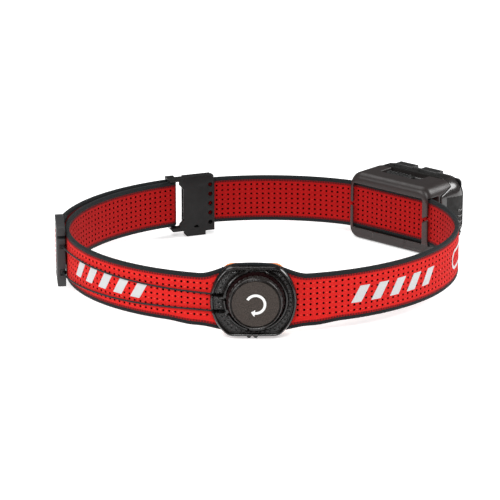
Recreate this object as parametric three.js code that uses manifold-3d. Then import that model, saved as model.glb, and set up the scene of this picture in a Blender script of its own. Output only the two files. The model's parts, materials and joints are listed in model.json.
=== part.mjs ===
// Trail-running headlamp on a perforated headband that a lace dial tightens.
// Millimetres, +Z up. The headband lies flat as a loop; the dial faces -Y and the lamp sits
// at the back right. The finished object stands on Z = 0 with its box centred on the Z axis.
import * as THREE from 'three';
import { mergeVertices } from 'three/addons/utils/BufferGeometryUtils.js';
import Module from 'manifold-3d';

const wasm = await Module();
wasm.setup();

// ---------------------------------------------------------------------------
// Driving dimensions
// ---------------------------------------------------------------------------

const radians = THREE.MathUtils.degToRad;
const GAP = 0.3;                 // clearance between two separate pieces

const band = {
  longRadius: 98.2,              // half the loop's long axis, at the webbing's middle
  shortRadius: 85.3,
  turn: radians(6.3),            // how far the long axis is turned from +X
  width: 25,
  thickness: 2,
  layerSpacing: 4.8,             // from the inner layer to the returning outer layer
  stepsPerTurn: 72,
};

// Places round the loop, as angles of the ellipse's parameter.
const place = {
  dial: radians(-97.6),
  lamp: radians(38.1),
  buckle: radians(107.2),
  laceBracket: radians(180),
};

const REST_LEVEL = -18;          // height of the resting surface below the band's middle

const dial = {
  height: 1.85,                  // dial axis above the band's middle
  baseX: -1,                     // base centre from the dial axis
  baseY: -1.05,
  baseHalfWidth: 20.7,
  baseHalfHeight: 17.1,
  baseTop: 5,
  lipRadius: 15,
  lipTop: 6.5,
  knobRadius: 12.7,
  knobTop: 11.2,
  discRadius: 11.2,
  drumRadius: 1.6,
  flareLength: 26,               // from the base's centre to where the webbing begins to widen
  flareRise: 18,                 // and the length over which it does so
};

const lace = {
  diameter: 0.9,
  sides: 8,
  steps: 72,
};

const lamp = {
  halfWidth: 27.2,
  bottom: -16.5,
  top: 19,
  corner: 8,
  wall: 1.8,
  rear: 3.3,
  shelfFront: 13.2,
  deckStart: 13.6,
  housingFront: 22.2,
  bezelRear: 23.6,
  bezelFront: 27.6,
  frontRound: 12,                // how far back the rounding of the front reaches
  sideRound: 6.5,                // and how far it comes in at the sides, top and bottom
  topRound: 4.5,
  bottomRound: 3.5,
  hingeY: 6.2,
  hingeZ: -15.4,
};

const bracket = {
  halfWidth: 26.6,
  back: -7.4,
  hookFront: -6.2,
  top: 18.5,
  corner: 3,
  bandHalf: 12.9,                // half height of the passage for the webbing
  windowLeft: -23.9,
  windowRight: 22.2,
  windowBottom: -11.9,
  windowTop: 12.4,
  chord: 3.4,                    // the webbing runs straight through, this far inside the loop
  chordBlend: 0.8,
  wallRear: 1.4,
  wallFront: 2.9,
  topFillet: 3.4,                // round of the inner top edge
  bottomFillet: 1.6,
  shelfCorner: 6,
};

const spot = { x: -9.8, z: 1, lensRadius: 9.8 };
const flood = { x: 12.6, z: 1, lensRadius: 7.2 };
const button = { x: 8.3, y: 18.5, width: 12, depth: 5.5 };
const battery = { x: 3.7, width: 40, height: 18, rear: 5.6, thickness: 4.6 };

// ---------------------------------------------------------------------------
// Solids: joining, cutting and the basic shapes
// ---------------------------------------------------------------------------

function toManifold(geometry) {
  const bare = geometry.clone();
  bare.deleteAttribute('normal');
  bare.deleteAttribute('uv');
  const merged = mergeVertices(bare, 1e-4);
  const kept = [];
  for (let i = 0; i < merged.index.count; i += 3) {
    const corners = [merged.index.getX(i), merged.index.getX(i + 1), merged.index.getX(i + 2)];
    if (new Set(corners).size === 3) kept.push(...corners);
  }
  return new wasm.Manifold(new wasm.Mesh({
    numProp: 3,
    vertProperties: new Float32Array(merged.attributes.position.array),
    triVerts: Uint32Array.from(kept),
  }));
}

function toGeometry(manifold) {
  const mesh = manifold.getMesh();
  const geometry = new THREE.BufferGeometry();
  geometry.setAttribute('position', new THREE.BufferAttribute(mesh.vertProperties, 3));
  geometry.setIndex(new THREE.BufferAttribute(mesh.triVerts, 1));
  return geometry;
}

function join(first, ...others) {
  return toGeometry(others.reduce((sum, next) => sum.add(toManifold(next)), toManifold(first)));
}

function cut(body, ...tools) {
  return toGeometry(tools.reduce((rest, tool) => rest.subtract(toManifold(tool)), toManifold(body)));
}

function common(first, second) {
  return toGeometry(toManifold(first).intersect(toManifold(second)));
}

function block(x0, x1, y0, y1, z0, z1) {
  const box = new THREE.BoxGeometry(x1 - x0, y1 - y0, z1 - z0);
  return box.translate((x0 + x1) / 2, (y0 + y1) / 2, (z0 + z1) / 2);
}

// An outline drawn in X and Y, thickened from z0 to z1.
function panel(outline, z0, z1) {
  const geometry = new THREE.ExtrudeGeometry(outline, { depth: z1 - z0, bevelEnabled: false, curveSegments: 4 });
  return geometry.translate(0, 0, z0);
}

// An outline drawn in X and Z, thickened from y0 to y1.
function wall(outline, y0, y1) {
  return panel(outline, 0, y1 - y0).rotateX(Math.PI / 2).translate(0, y1, 0);
}

// An outline drawn in Y and Z, thickened from x0 to x1.
function slice(outline, x0, x1) {
  return panel(outline, 0, x1 - x0).rotateX(Math.PI / 2).rotateZ(Math.PI / 2).translate(x0, 0, 0);
}

function outlineOf(points) {
  return new THREE.Shape(points.map(([x, y]) => new THREE.Vector2(x, y)));
}

// A profile of [radius, height] pairs, given anticlockwise, turned about the Z axis.
function turned(profile, segments = 32) {
  const closed = profile.map(([radius, height]) => new THREE.Vector2(radius, height));
  if (profile[0][0] > 0) closed.push(closed[0].clone());
  return new THREE.LatheGeometry(closed, segments).rotateX(Math.PI / 2);
}

function rod(radius, z0, z1, segments = 20) {
  return turned([[0, z0], [radius, z0], [radius, z1], [0, z1]], segments);
}

function ring(inner, outer, z0, z1, segments = 32) {
  return turned([[inner, z0], [outer, z0], [outer, z1], [inner, z1]], segments);
}

// A rod or other turned shape laid along Y or along X.
function alongY(geometry) {
  return geometry.rotateX(-Math.PI / 2);
}

function alongX(geometry) {
  return geometry.rotateY(Math.PI / 2);
}

function roundedRectangle(x0, x1, y0, y1, radius) {
  const outline = new THREE.Shape();
  outline.absarc(x1 - radius, y0 + radius, radius, -Math.PI / 2, 0);
  outline.absarc(x1 - radius, y1 - radius, radius, 0, Math.PI / 2);
  outline.absarc(x0 + radius, y1 - radius, radius, Math.PI / 2, Math.PI);
  outline.absarc(x0 + radius, y0 + radius, radius, Math.PI, 1.5 * Math.PI);
  return outline;
}

function toothedOutline(count, root, tip) {
  const points = [];
  for (let tooth = 0; tooth < count; tooth += 1) {
    const angle = (2 * Math.PI * tooth) / count;
    const pitch = (2 * Math.PI) / count;
    points.push(polar(root, angle), polar(tip, angle + pitch * 0.25));
    points.push(polar(tip, angle + pitch * 0.6), polar(root, angle + pitch * 0.85));
  }
  return outlineOf(points);
}

function polar(radius, angle) {
  return [radius * Math.cos(angle), radius * Math.sin(angle)];
}

function addPart(group, name, geometry, look) {
  const material = new THREE.MeshStandardMaterial(look);
  const mesh = new THREE.Mesh(geometry, material);
  mesh.name = name;
  group.add(mesh);
}

const looks = {
  webbing: { color: 0xc8201f, roughness: 0.9, metalness: 0 },
  cord: { color: 0x23282b, roughness: 0.7, metalness: 0 },
  blackNylon: { color: 0x1c1b1a, roughness: 0.5, metalness: 0 },
  greyNylon: { color: 0x3b3b3c, roughness: 0.6, metalness: 0 },
  smoky: { color: 0x4c4644, roughness: 0.35, metalness: 0 },
  steel: { color: 0xb9bcc0, roughness: 0.3, metalness: 1 },
  redPolymer: { color: 0x6b1114, roughness: 0.5, metalness: 0 },
  disc: { color: 0x48423e, roughness: 0.85, metalness: 0 },
  orangeFoam: { color: 0xf28a14, roughness: 0.95, metalness: 0 },
  aluminium: { color: 0x8d9094, roughness: 0.45, metalness: 1 },
  mirror: { color: 0xe8e8e8, roughness: 0.1, metalness: 1 },
  lens: { color: 0xdfe7ea, roughness: 0.05, metalness: 0 },
  emitter: { color: 0xf4e27a, roughness: 0.4, metalness: 0 },
  board: { color: 0x14522f, roughness: 0.5, metalness: 0 },
  cell: { color: 0x2a4f86, roughness: 0.45, metalness: 0 },
  rubber: { color: 0x171717, roughness: 0.9, metalness: 0 },
};

// ---------------------------------------------------------------------------
// The loop that everything sits on
// ---------------------------------------------------------------------------

const MM_PER_RADIAN_AT_LAMP = 90.4;
const RADIUS_AT_LAMP = 89;

// A point on the loop, offset outwards from the webbing's middle.
function loopPoint(angle, offset) {
  const across = new THREE.Vector2(band.shortRadius * Math.cos(angle), band.longRadius * Math.sin(angle));
  across.normalize();
  const point = new THREE.Vector2(band.longRadius * Math.cos(angle), band.shortRadius * Math.sin(angle));
  point.addScaledVector(across, offset);
  return point.rotateAround(new THREE.Vector2(0, 0), band.turn);
}

function outwardAngle(angle) {
  const inner = loopPoint(angle, 0);
  const outer = loopPoint(angle, 1);
  return Math.atan2(outer.y - inner.y, outer.x - inner.x);
}

// The webbing runs straight where it is threaded through the lamp's bracket.
function straightRun(angle) {
  const along = (angle - place.lamp) * MM_PER_RADIAN_AT_LAMP;
  const sagitta = (along * along) / (2 * RADIUS_AT_LAMP);
  return -bracket.chordBlend * Math.log(1 + Math.exp((bracket.chord - sagitta) / bracket.chordBlend));
}

function loopEdge(from, to, offset) {
  const count = Math.max(2, Math.ceil((Math.abs(to - from) / (2 * Math.PI)) * band.stepsPerTurn));
  const points = [];
  for (let i = 0; i <= count; i += 1) {
    const angle = from + ((to - from) * i) / count;
    points.push(loopPoint(angle, offset + straightRun(angle)));
  }
  return points;
}

// Webbing along part of the loop: its outline seen from above, thickened to its width.
function webbing(points, width) {
  return panel(new THREE.Shape(points), -width / 2, width / 2);
}

function loopStrip(from, to, innerOffset, outerOffset, width) {
  const points = [...loopEdge(from, to, innerOffset), ...loopEdge(to, from, outerOffset)];
  return webbing(points, width);
}

// The webbing widens beside the dial, to the height of the dial's base.
function flareAtDial(geometry) {
  const centre = loopPoint(place.dial, 0);
  const position = geometry.attributes.position;
  for (let i = 0; i < position.count; i += 1) {
    if (position.getY(i) > 0) continue;
    const distance = Math.abs(position.getX(i) - (centre.x + dial.baseX));
    const along = THREE.MathUtils.smoothstep(dial.flareLength - distance, 0, dial.flareRise);
    const widest = (2 * dial.baseHalfHeight - 1.6) / band.width;
    const lifted = position.getZ(i) * (1 + (widest - 1) * along);
    position.setZ(i, lifted + along * (dial.height + dial.baseY));
  }
  return geometry;
}

function groupAt(angle, height = 0) {
  const group = new THREE.Group();
  const point = loopPoint(angle, 0);
  group.position.set(point.x, point.y, height);
  group.rotation.z = outwardAngle(angle) - Math.PI / 2;
  return group;
}

// ---------------------------------------------------------------------------
// Headband
// ---------------------------------------------------------------------------

const buckleBar = { along: -11.1, radius: 1.1 };
const dialGap = radians(2.4);           // half the space between the two webbing ends
const MM_PER_RADIAN_AT_BUCKLE = 97.2;

function headband() {
  const group = new THREE.Group();
  const half = band.thickness / 2;
  const mainEnd = place.buckle - 2.2 / MM_PER_RADIAN_AT_BUCKLE;
  const main = loopStrip(place.dial + dialGap, mainEnd, -half, half, band.width);
  addPart(group, 'headband_main', flareAtDial(main), looks.webbing);
  addPart(group, 'tension_strap', flareAtDial(tensionStrap(half)), looks.webbing);
  addPart(group, 'tension_lace', laceCord(), looks.cord);
  return group;
}

// From the dial round the left, round the buckle's bar, and back outside to the lace bracket.
function tensionStrap(half) {
  const start = place.dial - dialGap;
  const foldAngle = foldPlace() - 2 * Math.PI;
  const returnEnd = radians(169.2) - 2 * Math.PI;
  const centre = foldCentre();
  const outward = outwardAngle(foldAngle);
  const points = [
    ...loopEdge(start, foldAngle, -half),
    ...foldArc(centre, outward, band.layerSpacing / 2 + half),
    ...loopEdge(foldAngle, returnEnd, band.layerSpacing + half),
    ...loopEdge(returnEnd, foldAngle, band.layerSpacing - half),
    ...foldArc(centre, outward, band.layerSpacing / 2 - half).reverse(),
    ...loopEdge(foldAngle, start, half),
  ];
  return webbing(points, band.width);
}

// Where the tension strap turns back round the buckle's bar.
function foldPlace() {
  return place.buckle - buckleBar.along / MM_PER_RADIAN_AT_BUCKLE;
}

function foldCentre() {
  return loopPoint(foldPlace(), band.layerSpacing / 2);
}

// The half round of the fold, from the inner layer to the outer one, on the buckle's side.
function foldArc(centre, outward, radius) {
  const points = [];
  for (let i = 1; i < 8; i += 1) {
    const angle = outward - Math.PI + (Math.PI * i) / 8;
    points.push(new THREE.Vector2(centre.x + radius * Math.cos(angle), centre.y + radius * Math.sin(angle)));
  }
  return points;
}

// One lace: off the spool, along the band, round inside the lace bracket and back to the spool.
// Each stop is [angle on the loop in degrees, distance outside the webbing's middle, height].
const laceRoute = [
  [-99.6, 3.65, 3.5], [-102.4, 3.9, 3.4], [-106, 3.5, 3.35], [-110, 2.4, 3.4],
  [-114, 1.9, 3.5], [-122, 1.85, 3.8], [-132, 1.85, 4.3], [-142, 1.85, 4.8],
  [-152, 1.85, 5.2], [-160, 1.95, 5.5], [-167, 2.4, 5.7], [-171.5, 2.9, 5.8],
  [-175.4, 3.1, 5.3], [-176.5, 3.1, 2.6], [-176.6, 3.1, -1.3], [-176.5, 3.1, -5.2],
  [-175.4, 3.1, -7.9], [-171.5, 2.9, -8.35], [-167, 2.4, -8.2], [-160, 1.95, -7.8],
  [-152, 1.85, -7.2], [-142, 1.85, -6.6], [-132, 1.85, -6], [-122, 1.85, -5.4],
  [-114, 1.9, -5.1], [-110, 2.4, -5], [-106, 3.5, -4.5], [-102.4, 3.9, -3.4],
  [-99.6, 3.65, -2.2],
];

function laceCord() {
  const stops = laceRoute.map(([angle, offset, height]) => {
    const point = loopPoint(radians(angle), offset);
    return new THREE.Vector3(point.x, point.y, height);
  });
  const section = new THREE.Shape();
  section.absarc(0, 0, lace.diameter / 2, 0, 2 * Math.PI);
  return new THREE.ExtrudeGeometry(section, {
    extrudePath: new THREE.CatmullRomCurve3(stops),
    steps: lace.steps,
    bevelEnabled: false,
    curveSegments: lace.sides / 2,
  });
}

// ---------------------------------------------------------------------------
// Lace bracket: X runs towards the buckle, Y outwards
// ---------------------------------------------------------------------------

const laceBracket = { inner: 1.4, outer: 5.7, top: 16, bottom: -15.1, barX: 12, barY: 3.6 };

function laceBracketGroup() {
  const group = groupAt(place.laceBracket);
  addPart(group, 'lace_bracket', laceBracketBody(), looks.greyNylon);
  const bar = rod(0.8, laceBracket.bottom + 0.8, laceBracket.top - 1).translate(laceBracket.barX, laceBracket.barY, 0);
  addPart(group, 'lace_bracket_bar', bar, looks.steel);
  addPart(group, 'strap_end_loop', strapEndLoop(), looks.webbing);
  return group;
}

function laceBracketBody() {
  const { inner, outer, top, bottom, barX, barY } = laceBracket;
  const body = block(-9, 9, inner, outer, bottom, top);
  const topArm = block(8, 14, inner, outer, 13.2, top);
  const bottomArm = block(8, 14, inner, outer, bottom, -13.2);
  const pocket = block(-8, 8.2, inner - 1, 4.8, -9.5, 7);
  const upperSlot = block(-10, -7, inner - 1, 4.2, 4.6, 6.8);
  const lowerSlot = block(-10, -7, inner - 1, 4.2, -9.3, -6.2);
  const topSlit = block(-10, 4, inner - 1, outer + 1, 9.8, 11.2);
  const lowGroove = block(-10, 10, outer - 0.4, outer + 1, -12.1, -11.6);
  const barHole = rod(0.8 + GAP, bottom + 0.4, top - 0.6).translate(barX, barY, 0);
  return cut(join(body, topArm, bottomArm), pocket, upperSlot, lowerSlot, topSlit, lowGroove, barHole);
}

function strapEndLoop() {
  const { barX, barY } = laceBracket;
  const halfHeight = 12.4;
  const loop = rod(2.2, -halfHeight, halfHeight, 24).translate(barX, barY, 0);
  const tail = block(barX + 1.2, barX + 4.1, barY - 1.15, barY + 0.85, -halfHeight, halfHeight);
  const hole = rod(1.1, -20, 20, 24).translate(barX, barY, 0);
  return cut(join(loop, tail), hole);
}

// ---------------------------------------------------------------------------
// Buckle: X runs along the band to the right, Y outwards
// ---------------------------------------------------------------------------

const buckle = {
  left: -13.2,
  right: 12,
  plateBack: -4,
  plateFront: -2.3,
  top: 14.4,
  bottom: -15.8,
  holePitch: 5.2,
  firstHole: 9.6,
};

function buckleGroup() {
  const group = groupAt(place.buckle);
  const centre = foldCentre();
  group.updateMatrix();
  const axis = new THREE.Vector3(centre.x, centre.y, 0).applyMatrix4(group.matrix.clone().invert());
  addPart(group, 'buckle_frame', buckleFrame(axis), looks.blackNylon);
  const bar = rod(buckleBar.radius, -14.1, 13.8).translate(axis.x, axis.y, 0);
  addPart(group, 'buckle_bar', bar, looks.steel);
  addPart(group, 'strap_slider', strapSlider(), looks.blackNylon);
  return group;
}

function buckleFrame(axis) {
  const { left, right, plateBack, plateFront, top, bottom } = buckle;
  const passage = band.width / 2 + GAP;
  const plate = wall(outlineOf([
    [left, passage], [-7.7, passage], [-7.7, 10.8], [-5.3, 8.3], [-5.3, -8.2], [-7.7, -10.8],
    [-7.7, -passage], [left, -passage], [left + 1.8, -14.8], [-5.2, -14.8], [-5.2, -16.4],
    [-3.6, REST_LEVEL], [6.9, REST_LEVEL], [6.9, bottom], [right, bottom],
    [right, top - 1.5], [right - 1.5, top], [10.4, top], [9.8, top + 0.6], [-4.6, top + 0.6],
    [-5.2, top], [left, top],
  ].reverse()), plateBack, plateFront);
  const roof = block(left, right, plateFront - 0.5, 1.2, passage, top);
  const floor = block(left + 1.8, right, plateFront - 0.5, 1.2, -14.6, -passage);
  const topEar = block(left, -8.6, 0, 4.4, passage, top);
  const bottomEar = block(left + 1.8, -8.6, 0, 4.4, -14.6, -passage);
  const barHole = rod(buckleBar.radius + GAP, -20, 14.1).translate(axis.x, axis.y, 0);
  const holes = [];
  for (let i = 0; i < 5; i += 1) {
    holes.push(alongY(rod(1.2, -2, 2, 16)).translate(9.6, -3.1, buckle.firstHole - i * buckle.holePitch));
  }
  const notch = common(alongY(rod(1.4, -2, 2, 16)), block(-2, 2, -3, 3, 0, 2)).translate(1.7, -3.1, -13.4);
  return cut(join(plate, roof, floor, topEar, bottomEar), barHole, notch, ...holes);
}

// The main strap is threaded through two slots in this sliding bar, outside the frame.
function strapSlider() {
  const plate = block(-4.4, 11.6, 1.6, 3.1, -14.6, 14.4);
  const slots = [0, 6.4].map((x) => block(x - 1.4, x + 1.4, 1, 4, -12.8, 12.8));
  return cut(plate, ...slots);
}

// ---------------------------------------------------------------------------
// Dial: X to the right, Y up, Z outwards along the dial's axis
// ---------------------------------------------------------------------------

function dialGroup() {
  const group = new THREE.Group();
  const point = loopPoint(place.dial, 0);
  group.position.set(point.x, point.y, dial.height);
  group.rotation.x = Math.PI / 2;
  addPart(group, 'dial_base', dialBase(), looks.blackNylon);
  addPart(group, 'dial_back_plate', dialBackPlate(), looks.blackNylon);
  addPart(group, 'head_pad', headPad(), looks.orangeFoam);
  addPart(group, 'centre_post', centrePost(), looks.steel);
  addPart(group, 'lace_spool', laceSpool(), looks.redPolymer);
  addPart(group, 'ratchet_ring', ratchetRing(), looks.redPolymer);
  addPart(group, 'knob_collar', ring(1.1, 2.8, 6.9, 7.6), looks.steel);
  addPart(group, 'pawl_ring', pawlRing(), looks.redPolymer);
  addPart(group, 'knob_ring', knobRing(), looks.blackNylon);
  addPart(group, 'knob_disc', knobDisc(), looks.disc);
  addPart(group, 'knob_retainer', rod(2.4, 9.9, 10.4), looks.steel);
  return group;
}

// Two wide arcs joined by a flat top and bottom.
function dialOutline(inset) {
  const halfHeight = dial.baseHalfHeight - inset;
  const shift = 1;
  const radius = dial.baseHalfWidth + shift - inset;
  const sweep = Math.asin(halfHeight / radius);
  const outline = new THREE.Shape();
  outline.absarc(-shift, 0, radius, -sweep, sweep);
  outline.absarc(shift, 0, radius, Math.PI - sweep, Math.PI + sweep);
  return outline;
}

function atBaseCentre(geometry) {
  return geometry.translate(dial.baseX, dial.baseY, 0);
}

// The space the webbing takes behind the dial, in the dial's own axes.
function bandSpace(innerOffset, outerOffset) {
  const strip = loopStrip(place.dial - radians(20), place.dial + radians(20), innerOffset, outerOffset, 60);
  const point = loopPoint(place.dial, 0);
  return strip.translate(-point.x, -point.y, 0).rotateX(-Math.PI / 2);
}

function dialBase() {
  const { baseTop, lipTop, lipRadius } = dial;
  const skirt = atBaseCentre(panel(dialOutline(0), -2.5, baseTop - 1.4));
  const shoulder = atBaseCentre(panel(dialOutline(0.7), baseTop - 1.5, baseTop - 0.6));
  const top = atBaseCentre(panel(dialOutline(1.6), baseTop - 0.7, baseTop));
  const lip = ring(12, lipRadius, baseTop - 0.5, lipTop, 36);
  const footBottom = REST_LEVEL - dial.height;
  const feet = [-3.15, 0].map((x) => block(x - 0.9, x + 0.9, footBottom, -17, 1.7, 3.4));
  const bore = rod(9, 2.15, lipTop, 32);
  const seat = rod(lipRadius - 0.9, baseTop, lipTop + 1, 36);
  const laceWays = [[0.2, 2.8], [-8.2, -4.2]].flatMap(([y0, y1]) => [
    block(-24, -14.6, y0, y1, -3, lipTop + 1),
    block(-15, -8, y0, y1, 1, 4.6),
    block(-9, -5, y0, y1, 2.15, 4.6),
  ]);
  const cuts = [bandSpace(-12, 1.35), bore, seat, rod(1.1, 0, 3), ...laceWays];
  return cut(join(skirt, shoulder, top, lip, ...feet), ...cuts);
}

function dialBackPlate() {
  const plate = atBaseCentre(panel(dialOutline(1.4), -3.2, 1.5));
  const pocket = rod(2.5, -4, -1.7);
  return cut(plate, bandSpace(-1.35, 12), pocket, rod(1.1, -4, 0));
}

function headPad() {
  return atBaseCentre(panel(dialOutline(1), -7.4, -3.5));
}

function centrePost() {
  return turned([[0, -2.9], [2.2, -2.9], [2.2, -2], [0.8, -2], [0.8, 9.6], [0, 9.6]], 20);
}

function laceSpool() {
  return turned([
    [1.1, 2.45], [8.2, 2.45], [8.2, 2.95], [dial.drumRadius, 2.95], [dial.drumRadius, 4.25],
    [8.2, 4.25], [8.2, 4.8], [2.6, 4.8], [2.6, 6], [1.1, 6],
  ], 32);
}

function ratchetRing() {
  const teeth = panel(toothedOutline(30, 11.4, 10.6), 4, 8);
  return cut(rod(13.2, 5.3, 6.5, 36), teeth);
}

function pawlRing() {
  const pawls = toothedOutline(3, 8.6, 10.2);
  return cut(join(panel(pawls, 5.5, 6.5), ring(3.1, 6, 6.4, 7.6)), rod(3.1, 4, 9));
}

function knobRing() {
  const { knobRadius, knobTop } = dial;
  const seat = 10.4;
  const web = turned([
    [3.1, 7.9], [11.9, 7.9], [11.9, 6.9], [knobRadius, 6.9], [knobRadius, knobTop - 0.7],
    [knobRadius - 0.7, knobTop], [11.5, knobTop], [11.5, seat], [9.5, seat], [9.5, 9.1], [3.1, 9.1],
  ], 36);
  const grip = cut(panel(toothedOutline(30, 12.45, 13), 6.9, 8.9), rod(12.1, 6, 10, 36));
  return join(web, grip);
}

function knobDisc() {
  const { discRadius } = dial;
  return turned([[0, 10.7], [discRadius, 10.7], [discRadius, 11.4], [discRadius - 0.3, 11.7], [0, 11.7]], 36);
}

// ---------------------------------------------------------------------------
// Lamp: X along the band to the right, Y outwards, Z up
// ---------------------------------------------------------------------------

const hinge = { knuckleHalf: 8.6, lugInner: 9, lugOuter: 13, lugRadius: 2.6, knuckleRadius: 2.4, pin: 0.9 };

function lampGroup() {
  const group = groupAt(place.lamp);
  addPart(group, 'strap_bracket', strapBracket(), looks.smoky);
  const pinLength = hinge.lugOuter + 0.2;
  addPart(group, 'hinge_pin', atHinge(alongX(rod(hinge.pin, -pinLength, pinLength))), looks.steel);
  addHousing(group);
  addFront(group);
  addInside(group);
  addControls(group);
  return group;
}

function atHinge(geometry) {
  return geometry.translate(0, lamp.hingeY, lamp.hingeZ);
}

function lampOutline(inset) {
  const radius = lamp.corner - Math.min(inset, lamp.corner - 2);
  return roundedRectangle(
    -lamp.halfWidth + inset, lamp.halfWidth - inset, lamp.bottom + inset, lamp.top - inset, radius,
  );
}

// The room inside the head's rounded front, as a solid to trim its pieces with.
function roundedFront(inset) {
  const { halfWidth, bezelFront, frontRound, sideRound, top, topRound, bottom, bottomRound } = lamp;
  const front = bezelFront - inset;
  const centreY = front - frontRound;
  const side = halfWidth - inset;
  const plan = new THREE.Shape();
  plan.moveTo(-side, -10);
  plan.lineTo(side, -10);
  plan.absellipse(side - sideRound, centreY, sideRound, frontRound, 0, Math.PI / 2);
  plan.absellipse(-side + sideRound, centreY, sideRound, frontRound, Math.PI / 2, Math.PI);
  const upper = top - inset;
  const lower = bottom + inset;
  const profile = new THREE.Shape();
  profile.moveTo(-10, lower);
  profile.lineTo(centreY, lower);
  profile.absellipse(centreY, lower + bottomRound, frontRound, bottomRound, -Math.PI / 2, 0);
  profile.absellipse(centreY, upper - topRound, frontRound, topRound, 0, Math.PI / 2);
  profile.lineTo(-10, upper);
  return common(panel(plan, -30, 30), slice(profile, -30, 30));
}

// The smoky frame that the webbing threads through, with a shelf over the top of the lamp.
function strapBracket() {
  const { halfWidth, back, hookFront, top, corner, bandHalf, wallRear, wallFront } = bracket;
  const { windowLeft, windowRight, windowBottom, windowTop } = bracket;
  const upright = wall(roundedRectangle(-halfWidth, halfWidth, REST_LEVEL, top, corner), back, wallFront);
  const rear = common(upright, filletedSide());
  const shelfOutline = roundedRectangle(-halfWidth, halfWidth, REST_LEVEL, top, bracket.shelfCorner);
  const shelfSide = outlineOf([[1, 12.3], [wallFront, 12.4], [lamp.shelfFront, 15.5], [lamp.shelfFront, 25], [1, 25]]);
  const shelf = common(wall(shelfOutline, 1, lamp.shelfFront), slice(shelfSide, -30, 30));
  const passage = block(-30, 30, hookFront, wallRear, -bandHalf, bandHalf);
  const window = block(windowLeft, windowRight, back - 1, hookFront + 1, windowBottom, windowTop);
  const steps = [[-30, -10], [11, 30]].map(([x0, x1]) => block(x0, x1, back - 1, back + 0.45, -16, windowBottom));
  const notch = block(-14, 11, 3.3, 20, 10, 25);
  const lugs = [-1, 1].flatMap((side) => hingeLug(side));
  const pinHole = atHinge(alongX(rod(hinge.pin + GAP, -20, 20)));
  const gaps = [-1, 1].map((side) => hookGap(side));
  return cut(join(rear, shelf, ...lugs), passage, window, notch, pinHole, ...gaps, ...steps);
}

// The bracket seen from its end, with its two inner edges rounded.
function filletedSide() {
  const { back, top, topFillet, bottomFillet } = bracket;
  const side = new THREE.Shape();
  side.moveTo(10, REST_LEVEL);
  side.lineTo(10, top);
  side.absarc(back + topFillet, top - topFillet, topFillet, Math.PI / 2, Math.PI);
  side.absarc(back + bottomFillet, REST_LEVEL + bottomFillet, bottomFillet, Math.PI, 1.5 * Math.PI);
  return slice(side, -30, 30);
}

function hingeLug(side) {
  const { lugInner, lugOuter, lugRadius } = hinge;
  const x0 = side > 0 ? lugInner : -lugOuter;
  const x1 = side > 0 ? lugOuter : -lugInner;
  const eye = atHinge(alongX(rod(lugRadius, x0, x1, 24)));
  return [eye, block(x0, x1, 2, lamp.hingeY, REST_LEVEL, lamp.hingeZ + 2)];
}

// The slanted opening in each side hook that the webbing snaps through.
function hookGap(side) {
  const slant = side > 0
    ? outlineOf([[22, 1.8], [22, 0], [28, 2.8], [28, 4.6]])
    : outlineOf([[-28, 2.6], [-28, 0.8], [-22, -0.6], [-22, 1.2]]);
  return wall(slant, bracket.back - 1, bracket.hookFront + 0.5);
}

function addHousing(group) {
  addPart(group, 'lamp_housing', lampHousing(), looks.smoky);
  addPart(group, 'battery_cover', block(-20.7, 20.7, 3.4, 4.9, -8.7, 9.1), looks.smoky);
  const seal = common(wall(lampOutline(0.6), 22.5, 23.3), roundedFront(0.6));
  addPart(group, 'front_gasket', cut(seal, wall(lampOutline(2.8), 20, 30)), looks.rubber);
}

const screwSpots = [[-21, -11.4], [21, -11.4], [-21, 13.2], [21, 13.2]];

function lampHousing() {
  const { rear, deckStart, housingFront, hingeY } = lamp;
  const shell = common(wall(lampOutline(0), rear, housingFront), roundedFront(0));
  const underShelf = slice(outlineOf([[2, 11.7], [deckStart, 15.2], [deckStart, 25], [2, 25]]), -30, 30);
  const hingeRoom = block(-30, 30, 0, 9.4, -20, -12.4);
  const latchBed = block(-13.6, 10.6, 3.6, deckStart + 1, 10.5, 15.6);
  const knuckle = atHinge(alongX(rod(hinge.knuckleRadius, -hinge.knuckleHalf, hinge.knuckleHalf, 24)));
  const web = block(-hinge.knuckleHalf, hinge.knuckleHalf, hingeY, 10.5, lamp.bottom, -13.4);
  const bosses = screwSpots.flatMap(([x, z]) => [
    alongY(rod(2.7, 15.4, housingFront, 16)).translate(x, 0, z),
    x > 0 ? block(x + 1, 25.9, 15.4, 20.6, z - 1, z + 1) : block(-25.9, x - 1, 15.4, 20.6, z - 1, z + 1),
  ]);
  const rearRoom = block(-25.4, 25.4, 5.2, deckStart + 1, -10.6, 10);
  const frontRoom = wall(lampOutline(lamp.wall), deckStart - 3.6, 40);
  const roomSide = [[10, -20], [40, -20], [40, 25], [14.8, 25], [14.8, 13.4], [10, 11.5]];
  const roomLimit = slice(outlineOf(roomSide), -30, 30);
  const hollow = cut(
    join(cut(shell, underShelf, hingeRoom), latchBed, knuckle, web),
    rearRoom, common(frontRoom, roomLimit),
  );
  const coverOpening = block(-21, 21, 0, 6, -9, 9.4);
  const pinHole = atHinge(alongX(rod(hinge.pin + GAP, -30, 30)));
  const deckHoles = [-1, 1].map((side) => buttonBlock(side, 0.3, 10, 25));
  const portOpening = block(-30, -25, 5.4, 14.1, -1.6, 1.6);
  const portSeat = block(-30, -26.1, 4.6, 16.8, -4.2, 4.2);
  const screwHoles = screwSpots.map(([x, z]) => alongY(rod(1, 16.6, 30, 12)).translate(x, 0, z));
  return cut(
    join(hollow, ...bosses),
    coverOpening, pinHole, portOpening, portSeat, ...deckHoles, ...screwHoles,
  );
}

function buttonBlock(side, margin, z0, z1) {
  const halfWidth = button.width / 2 + margin;
  const halfDepth = button.depth / 2 + margin;
  const x = side * button.x;
  return block(x - halfWidth, x + halfWidth, button.y - halfDepth, button.y + halfDepth, z0, z1);
}

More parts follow.
